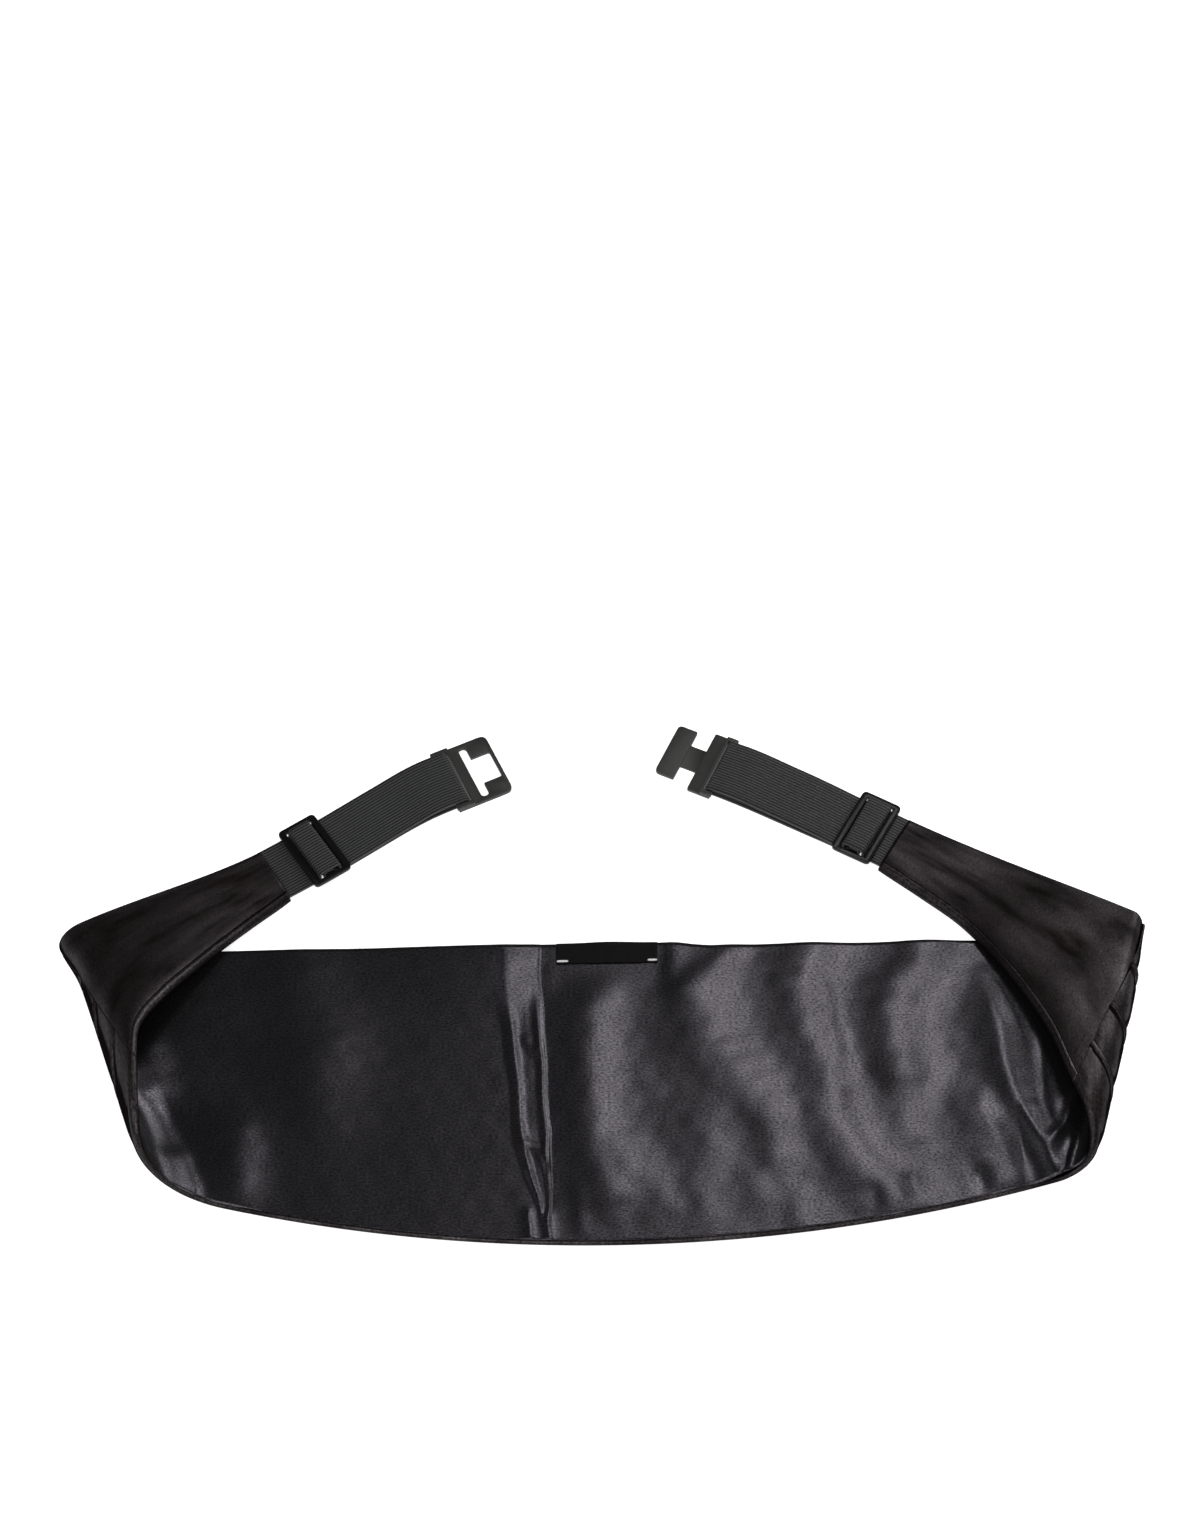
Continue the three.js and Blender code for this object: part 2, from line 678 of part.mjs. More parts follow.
function addMesh(name, geometry, finish, parent = group) {
  const mesh = new THREE.Mesh(geometry, finish);
  mesh.name = name;
  parent.add(mesh);
  return mesh;
}

addMesh('front_panel', panelGeometry(), shellSatin);
addMesh('lining', liningGeometry(), liningSatin);
addMesh('label', labelGeometry(), labelCloth);

const hookGeometries = {
  left: ['slot_plate', slotPlateGeometry()],
  right: ['t_hook', crossHookGeometry()],
};

for (const [name, side] of Object.entries(sides)) {
  const plan = strapPlan(side);
  addMesh(`wing_${name}`, wingGeometry(side), shellSatin);
  addMesh(`strap_${name}`, strapGeometry(side, plan), elastic);
  const place = (mesh, s) => {
    const middle = plan.middleAt(s);
    mesh.position.set(middle.x, middle.y, 0);
    mesh.rotation.z = plan.headingAt(s);
  };
  place(addMesh(`slide_${name}`, slideGeometry(), slidePlastic), side.slideAt);
  const [hookName, hookGeometry] = hookGeometries[name];
  place(addMesh(hookName, hookGeometry, hookPlastic), plan.barAt);
}

// The origin is the middle of the underside
group.updateMatrixWorld(true);
const bounds = new THREE.Box3().setFromObject(group, true);
const middle = bounds.getCenter(new THREE.Vector3());
group.position.set(-middle.x, -middle.y, -bounds.min.z);

export default group;
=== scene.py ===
"""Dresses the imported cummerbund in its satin, elastic and plastic, and lights it."""
import math

import bmesh
import bpy
import numpy as np
from bpy.props import FloatProperty, FloatVectorProperty, IntProperty, PointerProperty
from mathutils import Matrix, Vector


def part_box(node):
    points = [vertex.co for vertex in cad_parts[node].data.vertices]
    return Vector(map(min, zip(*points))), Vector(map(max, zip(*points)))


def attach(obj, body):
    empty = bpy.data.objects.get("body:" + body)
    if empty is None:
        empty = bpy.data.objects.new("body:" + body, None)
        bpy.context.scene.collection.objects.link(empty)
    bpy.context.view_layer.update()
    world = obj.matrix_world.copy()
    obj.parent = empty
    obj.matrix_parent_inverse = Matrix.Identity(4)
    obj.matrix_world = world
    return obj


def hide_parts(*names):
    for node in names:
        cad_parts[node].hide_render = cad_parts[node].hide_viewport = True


bl_info = {
    "name": "Cummerbund dressing",
    "version": (1, 0, 0),
    "blender": (4, 5, 0),
    "location": "View3D > Sidebar > Cummerbund",
    "description": "Builds the cloth, straps, fasteners and stage of a folded cummerbund",
    "category": "Object",
}

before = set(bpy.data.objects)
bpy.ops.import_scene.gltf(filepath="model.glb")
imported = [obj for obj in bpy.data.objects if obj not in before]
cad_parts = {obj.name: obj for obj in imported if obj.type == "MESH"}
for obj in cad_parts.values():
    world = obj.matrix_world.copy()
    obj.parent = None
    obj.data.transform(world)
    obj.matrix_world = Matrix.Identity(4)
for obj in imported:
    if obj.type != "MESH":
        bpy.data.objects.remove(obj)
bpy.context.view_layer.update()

# Sizes of the pattern in millimetres, the same as the solids have.
PANEL_HEIGHT = 129.3
HEM_RADIUS = 622.0
SEAM_AT = 215.0
SHOULDER_AT = 187.0
WING_END = 27.5
WING_TOP_DROP = 1.5
STRAP_WIDTH = 25.0
LOOP_SPAN = 0.792
PANEL_LEVEL = 2.4
RUN_LEVEL = 1.8
RETURN_LEVEL = 0.5
LABEL_CENTRE = -1.5
LABEL_SIZE = (40.0, 9.0)
LABEL_DROP = 0.3
ELASTIC = 1.0
PLAY = 0.3
SLIDE_TO_BAR = 64.7
SLIDE_LENGTH = 17.0
SLIDE_THICKNESS = 1.8
OUTER_BAR = 2.8
CENTRE_BAR = (3.0, 1.2)
HOOK_BAR = 1.8
HOOK_WRAP_AT = 0.5

# Sizes of the cloth alone: how far the right seam leans at the hem and at the top edge, the gap from a
# seam to the cloth, the lining's level over the pattern, how far it stays in at the hem and at the top
# edge, and where it stays level round the label.
SEAM_LEAN = (-5.0, 1.0)
SEAM_GAP = 0.06
LINING_LEVEL = 0.65
LINING_IN = (0.1, 0.2)
LABEL_CLEAR_ALONG = (19, 25)
LABEL_CLEAR_DOWN = (9.5, 30)
# The label's level, and the place along it and the length of each of its two bars of thread.
LABEL_LEVEL = 1.55
THREAD_BARS = ((-17.6, 4.6), (17.9, 3.8))

# Dip of the top edge beside the label: depth left and right, where it starts and ends, where it goes back.
TOP_DIP = (0.6, 1.6, 24.0, 42.0, 150.0, 190.0)

# Tapers of the wings' lower edges: share of the way from shoulder to end, share of the height lost.
LEFT_TAPER = (
    (0, 0), (0.1, 0.06), (0.2, 0.25), (0.3, 0.5), (0.42, 0.635),
    (0.55, 0.745), (0.7, 0.86), (0.85, 0.945), (1, 1),
)
RIGHT_TAPER = (
    (0, 0), (0.1, 0.13), (0.2, 0.29), (0.3, 0.465), (0.42, 0.625),
    (0.55, 0.765), (0.7, 0.89), (0.85, 0.955), (1, 1),
)


def side_values(sign, wing, before_seam, lean, loops, droop, corner, taper, slide_at, arch, back, turns):
    """A side's sizes, with its fold's cone worked out from the two loop heights."""
    top_loop, hem_loop = loops
    growth = (hem_loop - top_loop) / (LOOP_SPAN * PANEL_HEIGHT)
    lean = math.radians(lean)
    reach = top_loop / growth
    fold_at = SEAM_AT - before_seam
    return {
        "sign": sign,
        "length": SEAM_AT + wing,
        "fold_at": fold_at,
        "lean": lean,
        "half_angle": math.asin(growth) / 2,
        "apex_x": fold_at + reach * math.sin(lean),
        "apex_y": reach * math.cos(lean),
        "droop": fold_at + droop,
        "pull": corner[0],
        "pull_reach": corner[1],
        "taper": taper,
        "slide_at": slide_at,
        "arch": arch,
        "back": back,
        "turns": turns,
    }


LEFT = side_values(
    -1, 90.4, 9.4, 27.1, (14.0, 40.0), 12.0, (3.4, 13.0), LEFT_TAPER, 19.0, 0.3, 3.6,
    ((0, 0), (0.35, 2.5), (0.7, 2.5), (1, -7)),
)
RIGHT = side_values(
    1, 107.8, 10.0, 19.1, (12.0, 19.3), -12.0, (-2.5, 22.0), RIGHT_TAPER, 13.0, 1.8, 0.9,
    ((0, 0), (0.3, -3), (0.7, -3), (1, -6)),
)

# Tuck in the lining: down from the top edge, and where its soft and its crisp edge are.
TUCK_LINES = (
    (0, -43, -28.5), (21, -42.5, -28.5), (42, -38.5, -27.2), (76, -36, -25.8), (100, -32.5, -24.6),
    (115, -28, -24.8), (130, -27, -24.6),
)
# How far to the left the step's back falls away, and where down the tuck its lower shape sets in and
# the step and the ridges end.
TUCK_CLIMB = 75
TUCK_LOWER_FROM = (16, 42)
TUCK_FOOT = (129, 84)
RIDGE_FOOT = (122, 112)
# Across the tuck: share of the way from the soft edge to the crisp one, share of the height. The lining
# steps down there, evenly near the top edge and with a sharp drop lower, and has a ridge at either edge.
TUCK_TOP = ((-1.0, 0.75), (0, 0.78), (0.08, 0.79), (0.25, 0.7), (0.95, 0.16), (1.0, 0.1), (1.04, 0), (1.4, 0))
TUCK_LOW = ((-1.0, 0.3), (0, 0.3), (0.5, 0.28), (0.85, 0.27), (0.98, 0.24), (1.03, 0.12), (1.07, 0), (1.4, 0))
TUCK_RIDGES = (
    (-0.35, 0), (0, 0.22), (0.1, 0.13), (0.25, 0.02), (0.5, 0), (0.72, 0.01),
    (0.86, 0.17), (0.92, 0.19), (1.0, 0.13), (1.05, 0.04), (1.07, 0), (1.2, 0),
)

# Soft waves of the lining. Each row: the crest as (along, down) points, then the width of the slope
# before it and after it (right of a crest that runs down), then the height.
WAVES = (
    (((-3, 12), (-9, 30), (-10, 55), (-8, 90), (-3, 106)), 12, 10, 1.5),
    (((24, 3), (24, 11)), 3, 6, 0.4),
    (((4, 90), (6, 97)), 6, 8, 0.5),
    (((47, 4), (37, 14), (28, 22)), 5, 7, 0.55),
    (((34, 24), (36, 46), (44, 57), (53, 69)), 14, 13, 1.3),
    (((80, 2), (74, 20), (76, 40), (83, 58), (83, 78), (93, 98), (106, 112)), 12, 9, 1.4),
    (((84, 22), (85, 38), (87, 50)), 2.5, 3.5, 0.35),
    (((124, 2), (121, 12), (113, 22), (109, 34), (110, 54)), 11, 12, 1.7),
    (((112, 64), (112, 86)), 9, 10, 0.7),
    (((140, 78), (145, 90), (150, 104)), 15, 6, 1.4),
    (((35, 78), (36, 90)), 13, 8, 0.6),
    (((61, 79), (62, 94)), 8, 8, 0.8),
    (((-14, 108), (-13, 124)), 2.5, 3, 0.25),
    (((-33, 44), (-30, 48)), 2.5, 3.5, 0.45),
    (((14, 102), (17, 112)), 7, 8, 0.4),
    (((32, 106), (34, 118)), 7, 8, 0.35),
    (((52, 106), (55, 112)), 7, 8, 0.35),
    (((69, 112), (70, 122)), 6, 6, 0.35),
    (((112, 106), (113, 110)), 3.5, 3.5, -0.6),
    (((138, 104), (139, 108)), 3.5, 3.5, -0.5),
    (((98, 110), (98, 113)), 3, 3, -0.4),
    (((-145, 84), (-144, 104)), 14, 10, 1.7),
    (((-168, 94), (-165, 104)), 6, 7, 1.2),
    (((-182, 46), (-178, 62)), 7, 8, 1.6),
    (((-122, 14), (-112, 40)), 18, 16, 1.2),
    (((-118, 58), (-114, 76)), 16, 18, 1.1),
)

# Sharp creases: laid out as the waves are, with the rounding of the crest last. The first two are one
# crease with two widths, and the higher of them counts.
CREASES = (
    (((141, 3), (146, 18), (150, 40), (152, 62), (155, 74)), 13.0, 15.0, 3.8, 2.3),
    (((155, 74), (164, 94), (168, 108)), 5.0, 12.0, 3.8, 1.6),
    (((166, 46), (165, 74), (168, 88)), 2.0, 2.0, 0.35, 0.9),
    (((178, 70), (172, 84), (167, 90)), 2.5, 3.5, 1.4, 1.0),
    (((174, 92), (169, 106)), 2.5, 2.5, 1.2, 1.0),
    (((-33, 88), (-28, 91), (-26, 96)), 1.2, 1.2, 0.7, 0.8),
    (((-33, 117), (-32, 127)), 1.5, 1.5, 0.6, 0.8),
    (((-26, 118), (-25, 127)), 1.2, 1.2, 0.6, 0.8),
)
# Where the two main creases set in below the top edge.
CREASE_START = (2, 44)

# Small ripples that run all over the lining: turns for each millimetre along and down, and the phase.
RIPPLES = (
    (0.55, 0.2, 0), (-0.32, 0.5, 1.1), (0.18, -0.62, 2.3),
    (0.47, 0.44, 4.0), (0.7, -0.3, 0.7), (-0.1, 0.75, 3.1),
)

# Rows of the shell's cross-section: distance in from the hem, share of the height, distance in from the
# top edge, offset towards the lining, share of the pleats' depth, and how far an edge stands up past it.
HEM_ROLL = (
    (-0.1, 0, 0, 1.58), (-0.4, 0, 0, 1.35), (-0.5, 0, 0, 1.0), (-0.4, 0, 0, 0.6),
    (0, 0, 0, 0.1), (0.6, 0, 0, -0.4),
)
EDGE_STITCH = ((2.2, 0, 0, -0.82), (2.5, 0, 0, -0.6), (2.7, 0, 0, -0.6), (3.2, 0, 0, -0.82))
TOP_ROLL = (
    (0, 1, 1.7, -0.8, 1), (0, 1, 1.1, -0.7, 0.9), (0, 1, 0.8, -0.5, 0.6),
    (0, 1, 0.7, -0.3, 0.3), (0, 1, 0.8, -0.1, 0), (0, 1, 1.2, -0.02, 0),
)
# The edge of a pleat, without its share of the height.
PLEAT_EDGE = (
    (-2.4, 0, -0.8, 1), (-1.5, 0, -0.8, 1, 0.25), (-0.9, 0, -0.8, 1, 0.4), (-0.35, 0, -0.82, 0.9, 0.35),
    (-0.1, 0, -0.8, 0.6), (-0.1, 0, -0.8, 0.3), (0.1, 0, -0.8),
)
# Shares of a pleat's height that have a row, and the offset of the rows between its edges.
PLEAT_ROWS = (0.08, 0.16, 0.24, 0.32, 0.45, 0.6, 0.75, 0.9)
SHELL_LEVEL = -0.8
# Where along the front the pleats set in, where they sink and by what share, where their edges stand up.
PLEATS_FROM = (-212, -170)
PLEATS_SINK = (120, 205)
SINK_SHARE = 0.05
EDGES_RISE = (206, 213)

# The photograph's size and the place in it of the middle of the top edge, both in pixels, the height
# of the camera's sensor in millimetres, and the floor's reach in metres.
PHOTO_SIZE = (1200, 1530)
PHOTO_CENTRE = (610.6, 947.3)
SENSOR_HEIGHT = 36
FLOOR_REACH = 4.0
FLOOR_GLOW = 0.7
SKY_GLOW = 0.06
# Lamps: place, what they face, width and height.
LAMPS = {
    "sheen_lamp": ((0.32, 0.65, 1.3), (0.1, 0, 0), (0.26, 0.5)),
    "front_lamp": ((-0.3, -1.5, 2.1), (0, 0, 0), (3.2, 2.4)),
    "left_lamp": ((-1.7, 0.1, 1.4), (0, 0, 0), (0.8, 1.2)),
    "low_lamp": ((0.85, 0.82, 0.55), (-0.17, -0.05, 0), (0.7, 0.7)),
}


def length_property(name, description, default):
    return FloatProperty(name=name, description=description, default=default, unit="LENGTH")


def share_property(name, description, default):
    return FloatProperty(name=name, description=description, default=default, subtype="FACTOR")


def angle_property(name, description, degrees):
    return FloatProperty(name=name, description=description, default=math.radians(degrees), subtype="ANGLE")


def power_property(name, description, watts):
    return FloatProperty(name=name, description=description, default=watts, subtype="POWER")


def colour_property(name, description, default):
    return FloatVectorProperty(name=name, description=description, default=default, subtype="COLOR", size=3)


class ClothSizes(bpy.types.PropertyGroup):
    """Sizes of the cloth's thickness, edges and relief."""
    satin: length_property("Satin thickness", "Thickness of one layer of satin", 0.0009)
    hem_lip: length_property("Hem lip", "How far the shell rolls over the lining's edge", 0.0011)
    pleat_depth: length_property("Pleat depth", "Step at the edge of a pleat", 0.00105)
    pleats: IntProperty(name="Pleats", description="Number of pleats in the front panel", default=4)
    tuck: length_property("Tuck height", "Height of the tuck left of the middle", 0.0026)
    wave: share_property("Wave share", "Share of the listed height of the lining's waves", 0.92)
    ripple: length_property("Ripple height", "Height of each of the lining's small ripples", 0.000013)
    crease: share_property("Crease share", "Share of the listed height of the creases", 1.0)


class StrapSizes(bpy.types.PropertyGroup):
    """Sizes of the elastic and of the rounding on the fasteners."""
    elastic: length_property("Elastic thickness", "Thickness of the elastic", 0.00095)
    rib_pitch: length_property("Rib pitch", "Distance between the ribs of the elastic", 0.00125)
    rounding: length_property("Edge rounding", "Rounding on the edges of hooks and slides", 0.0003)


class Colours(bpy.types.PropertyGroup):
    """Colours of the cloth, elastic, plastic, thread and floor."""
    lining: colour_property("Lining", "Satin lining", (0.0050, 0.0048, 0.0051))
    shell: colour_property("Shell", "Satin of the front and wings", (0.0056, 0.0042, 0.0043))
    elastic: colour_property("Elastic", "Yarn of the straps", (0.022, 0.022, 0.023))
    hook: colour_property("Hooks", "Matte plastic of the hooks", (0.0125, 0.012, 0.0108))
    slide: colour_property("Slides", "Glossy plastic of the slides", (0.006, 0.006, 0.006))
    label: colour_property("Label", "Woven label", (0.002, 0.002, 0.002))
    thread: colour_property("Thread", "Thread that holds the label", (0.85, 0.85, 0.85))
    floor: colour_property("Floor", "Plain floor", (0.93, 0.93, 0.93))


class StageSizes(bpy.types.PropertyGroup):
    """Camera and lamps."""
    lens: FloatProperty(
        name="Lens", description="Focal length in millimetres over a 36 mm high frame", default=77.05)
    pitch: angle_property("Pitch", "Angle of the view below the horizon", 57)
    roll: angle_property("Roll", "Turn of the view about its axis", -0.98)
    distance: length_property("Distance", "From the camera to the middle of the top edge", 1.3)
    sheen_lamp: power_property("Sheen lamp", "Power of the lamp behind, in watts", 3.6)
    front_lamp: power_property("Front lamp", "Power of the lamp above the camera, in watts", 55.0)
    left_lamp: power_property("Left lamp", "Power of the lamp at the left, in watts", 3.0)
    low_lamp: power_property("Low lamp", "Power of the low lamp behind the right, in watts", 9.0)


def settings():
    return bpy.context.scene


# ---------------------------------------------------------------- the folded pattern

def smooth_table(rows, x, first_slope=None):
    """Smooth curve through a table: a cubic between rows, with each row's slope from its neighbours."""
    xs, ys = np.array(rows, float).T
    index = np.arange(len(xs))
    before, after = np.maximum(index - 1, 0), np.minimum(index + 1, len(xs) - 1)
    slopes = (ys[after] - ys[before]) / (xs[after] - xs[before])
    if first_slope is not None:
        slopes[0] = first_slope
    row = np.clip(np.searchsorted(xs, x) - 1, 0, len(xs) - 2)
    span = xs[row + 1] - xs[row]
    t = np.clip((x - xs[row]) / span, 0, 1)
    bend = t * (1 - t) * ((1 - t) * slopes[row] - t * slopes[row + 1])
    return ys[row] + (ys[row + 1] - ys[row]) * t * t * (3 - 2 * t) + span * bend


def smoothstep(x, low, high):
    t = np.clip((x - low) / (high - low), 0, 1)
    return t * t * (3 - 2 * t)


def hem_arc(along):
    """Rise of the hem's arc over its lowest point."""
    return HEM_RADIUS - np.sqrt(HEM_RADIUS ** 2 - along ** 2)


def lower_edge(x):
    """Height of the cloth below the top edge: an arc along the panel, then the wing's taper."""
    along = np.abs(x)
    shoulder = PANEL_HEIGHT - hem_arc(SHOULDER_AT)
    tapers = []
    for side in (LEFT, RIGHT):
        run, fall = side["length"] - SHOULDER_AT, shoulder - WING_END
        slope = SHOULDER_AT / math.sqrt(HEM_RADIUS ** 2 - SHOULDER_AT ** 2) * run / fall
        tapers.append(shoulder - fall * smooth_table(side["taper"], (along - SHOULDER_AT) / run, slope))
    panel = PANEL_HEIGHT - hem_arc(np.minimum(along, SHOULDER_AT))
    return np.where(along <= SHOULDER_AT, panel, np.where(x < 0, *tapers))


def upper_edge(x):
    """Dip beside the label, and a wing's drop, growing as the power 1.5 of the way along it."""
    wing = np.where(x < 0, LEFT["length"], RIGHT["length"]) - SEAM_AT
    depth_left, depth_right, start, end, back_start, back_end = TOP_DIP
    depth = np.where(x < 0, depth_left, depth_right)
    dip = depth * smoothstep(np.abs(x - LABEL_CENTRE), start, end)
    dip = dip * (1 - smoothstep(np.abs(x), back_start, back_end))
    return dip + WING_TOP_DROP * (np.maximum(np.abs(x) - SEAM_AT, 0) / wing) ** 1.5


def folded(x, y):
    """Place of a pattern point between lining and shell. Past a side's fold the cloth rolls round a
    cone whose point lies above the top edge, then lies flat on its back and sinks to the floor."""
    p = {key: np.where(x < 0, LEFT[key], RIGHT[key]) for key in
         ("sign", "lean", "half_angle", "apex_x", "apex_y", "droop", "length", "pull", "pull_reach")}
    sin_l, cos_l = np.sin(p["lean"]), np.cos(p["lean"])
    sin, cos = np.sin(p["half_angle"]), np.cos(p["half_angle"])
    dx, dy = np.abs(x) - p["apex_x"], y - p["apex_y"]
    out, down = dx * cos_l - dy * sin_l, -dx * sin_l - dy * cos_l
    turn = np.arctan2(out, down)
    radius = np.hypot(out, down)
    wrap = np.clip(turn / sin, 0, math.pi)
    past = np.maximum(turn - math.pi * sin, 0)
    ray = (-cos * cos - sin * sin * np.cos(wrap), sin * np.sin(wrap), sin * cos * (1 - np.cos(wrap)))
    tangent = (sin * np.sin(wrap), np.cos(wrap), cos * np.sin(wrap))
    up, outward, rise = (radius * (np.cos(past) * a + np.sin(past) * b) for a, b in zip(ray, tangent))
    outward = outward + p["pull"] * np.sin(wrap) * np.exp(-(y / p["pull_reach"]) ** 2)
    settled = smoothstep(np.abs(x), p["droop"], p["length"])
    level = PANEL_LEVEL + rise
    place = np.stack([
        p["sign"] * (p["apex_x"] + up * sin_l + outward * cos_l),
        p["apex_y"] + up * cos_l - outward * sin_l,
        level + (RUN_LEVEL - level) * settled,
    ], -1)
    flat = np.stack([x, y, np.full_like(x, PANEL_LEVEL)], -1)
    return np.where((turn <= 0)[..., None], flat, place)


def cloth_point(x, y, offset):
    """Point offset from the folded pattern along its normal, towards the lining where positive."""
    step = 0.05
    across = folded(x + step, y) - folded(x - step, y)
    upward = folded(x, y + step) - folded(x, y - step)
    normal = np.cross(across, upward)
    normal /= np.linalg.norm(normal, axis=-1, keepdims=True)
    return folded(x, y) + normal * np.asarray(offset)[..., None]


def frame_offset():
    """Distance from the pattern's frame to the part's, read off the label's box."""
    low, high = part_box("label")
    return np.array([LABEL_CENTRE - 500 * (low.x + high.x), -LABEL_DROP - 1000 * high.y, 0.0])


OFFSET = frame_offset()


def to_frame(points):
    """Millimetres of the pattern's frame to metres of the part's frame."""
    return (np.asarray(points) - OFFSET) * 0.001


# ---------------------------------------------------------------- meshes

def grid_faces(rows, columns, flip=False):
    """Quads of a grid of points stored row by row."""
    index = np.arange(rows * columns).reshape(rows, columns)
    quads = np.stack([index[:-1, :-1], index[1:, :-1], index[1:, 1:], index[:-1, 1:]], -1).reshape(-1, 4)
    return quads[:, ::-1] if flip else quads


def make_object(name, points, faces, uv=None, smooth=True):
    """A mesh object from an array of points, an array of quads and a UV pair for each point."""
    mesh = bpy.data.meshes.new(name)
    mesh.from_pydata(points.tolist(), [], faces.tolist())
    if uv is not None:
        layer = mesh.uv_layers.new(name="Cloth")
        loops = np.empty(len(mesh.loops), np.int32)
        mesh.loops.foreach_get("vertex_index", loops)
        layer.data.foreach_set("uv", np.asarray(uv, np.float32)[loops].ravel())
    mesh.polygons.foreach_set("use_smooth", [smooth] * len(mesh.polygons))
    mesh.update()
    piece = bpy.data.objects.new(name, mesh)
    bpy.context.scene.collection.objects.link(piece)
    return piece


def thicken(piece, thickness):
    """A wall of even thickness on an open surface, with closed rims."""
    wall = piece.modifiers.new("Wall", "SOLIDIFY")
    wall.thickness = thickness
    wall.offset = 0.0
    wall.use_quality_normals = True


def finish_piece(piece, material, slot, *nodes):
    """Gives a piece the material of a name and its body, and hides the solids that it stands for. The slot is
    not used.
    """
    piece.data.materials.clear()
    piece.data.materials.append(find_material(material))
    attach(piece, "root")
    if nodes:
        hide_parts(*nodes)


def ribs(marks):
    """Ribs between marks. A mark holds a rib's place at the hem and at the top edge, and the steps on."""
    hem, top = [], []
    for (hem_a, top_a, steps), (hem_b, top_b, _) in zip(marks, marks[1:]):
        t = np.arange(steps) / steps
        hem.append(hem_a + (hem_b - hem_a) * t)
        top.append(top_a + (top_b - top_a) * t)
    hem.append([marks[-1][0]])
    top.append([marks[-1][1]])
    return np.concatenate(hem), np.concatenate(top)


def upright(along, steps=0):
    """A mark whose rib stands straight up the pattern."""
    return along, along, steps


def seam_mark(along, steps=0):
    """A seam of the right side, which leans a little."""
    return along + SEAM_LEAN[0], along + SEAM_LEAN[1], steps


def fold_mark(side, steps):
    """The straight line of a side's cone where its fold starts, with its place at the hem found by
    stepping towards it."""
    def along(y):
        return side["sign"] * (side["apex_x"] - (side["apex_y"] - y) * math.tan(side["lean"]))

    hem = along(-PANEL_HEIGHT / 2)
    for _ in range(12):
        hem = along(-float(lower_edge(np.array(hem))))
    return hem, along(0.0), steps


def lining_grid(marks, shares):
    """Pattern places of the lining: the ribs run from hem to top edge, the rows at shares of the
    height, and both ends stay in a little."""
    hem, top = ribs(marks)
    hem_in, top_in = LINING_IN
    x = hem[:, None] + (top - hem)[:, None] * shares
    low, high = -lower_edge(x), -upper_edge(x)
    return x, low + (high - low) * shares + hem_in * (1 - shares) - top_in * shares


# ---------------------------------------------------------------- relief of the lining

def crest_distance(x, y, row):
    """Distance from a crest's line of points, and the width of the slope on that side of it. Round the
    ends of the line the width goes over smoothly from one side's to the other's."""
    points, before, after = row[:3]
    nearest = np.full(np.shape(x), np.inf)
    width = np.full(np.shape(x), float(after))
    for (x0, y0), (x1, y1) in zip(points, points[1:]):
        dx, dy = x1 - x0, y0 - y1
        length = math.hypot(dx, dy)
        along = np.clip(((x - x0) * dx + (y + y0) * dy) / length ** 2, 0, 1)
        distance = np.hypot(x - x0 - along * dx, y + y0 - along * dy)
        aside = ((y + y0) * dx - (x - x0) * dy) / length
        share = 0.5 + 0.5 * np.clip(aside / np.maximum(distance, 1e-6), -1, 1)
        closer = distance < nearest
        width = np.where(closer, before + (after - before) * share, width)
        nearest = np.where(closer, distance, nearest)
    return nearest, width


def wave(x, y, row):
    """A soft ridge: its height falls with e to the power of minus the square of distance over width."""
    distance, width = crest_distance(x, y, row)
    return row[3] * np.exp(-(distance / width) ** 2)


def crease(x, y, row):
    """A tent-like ridge: its height falls with e to the power of minus the distance over the width."""
    distance, width = crest_distance(x, y, row)
    height, rounding = row[3:]
    return height * np.exp(-(np.hypot(distance, rounding) - rounding) / width)


def tuck_rise(x, y):
    """Share of the tuck's height. Left of it the lining climbs slowly."""
    down, soft, crisp = np.array(TUCK_LINES, float).T
    left = smooth_table(np.stack([down, soft], -1), -y) + 0.35 * np.sin(y / 6.0)
    right = smooth_table(np.stack([down, crisp], -1), -y) + 0.25 * np.sin(y / 4.5 + 1.0)
    across = (x - left) / (right - left)
    lower = smoothstep(-y, *TUCK_LOWER_FROM)
    step = smooth_table(TUCK_TOP, across) * (1 - lower) + smooth_table(TUCK_LOW, across) * lower
    step = step * smoothstep(x, left - TUCK_CLIMB, left) * smoothstep(-y, *TUCK_FOOT)
    ridges = smooth_table(TUCK_RIDGES, across) * lower * smoothstep(-y, *RIDGE_FOOT)
    return step * (0.85 + 0.15 * smoothstep(-y, 0, 7)) + ridges * (1 + 0.2 * np.sin(y / 9.0))


def lining_rise(x, y):
    """Height of the lining over its even level. It stays level under the label."""
    cloth = settings().cloth_sizes
    waves = sum(wave(x, y, row) for row in WAVES) * cloth.wave
    main = np.maximum(crease(x, y, CREASES[0]), crease(x, y, CREASES[1])) * smoothstep(-y, *CREASE_START)
    creases = (main + sum(crease(x, y, row) for row in CREASES[2:])) * cloth.crease
    label = 1 - smoothstep(np.abs(x - LABEL_CENTRE), *LABEL_CLEAR_ALONG)
    label = label * (1 - smoothstep(-y, *LABEL_CLEAR_DOWN))
    ripples = cloth.ripple * 1000 * sum(np.sin(a * x + b * y + phase) for a, b, phase in RIPPLES)
    return (waves + ripples) * (1 - label) + creases + tuck_rise(x, y) * cloth.tuck * 1000


# ---------------------------------------------------------------- operators

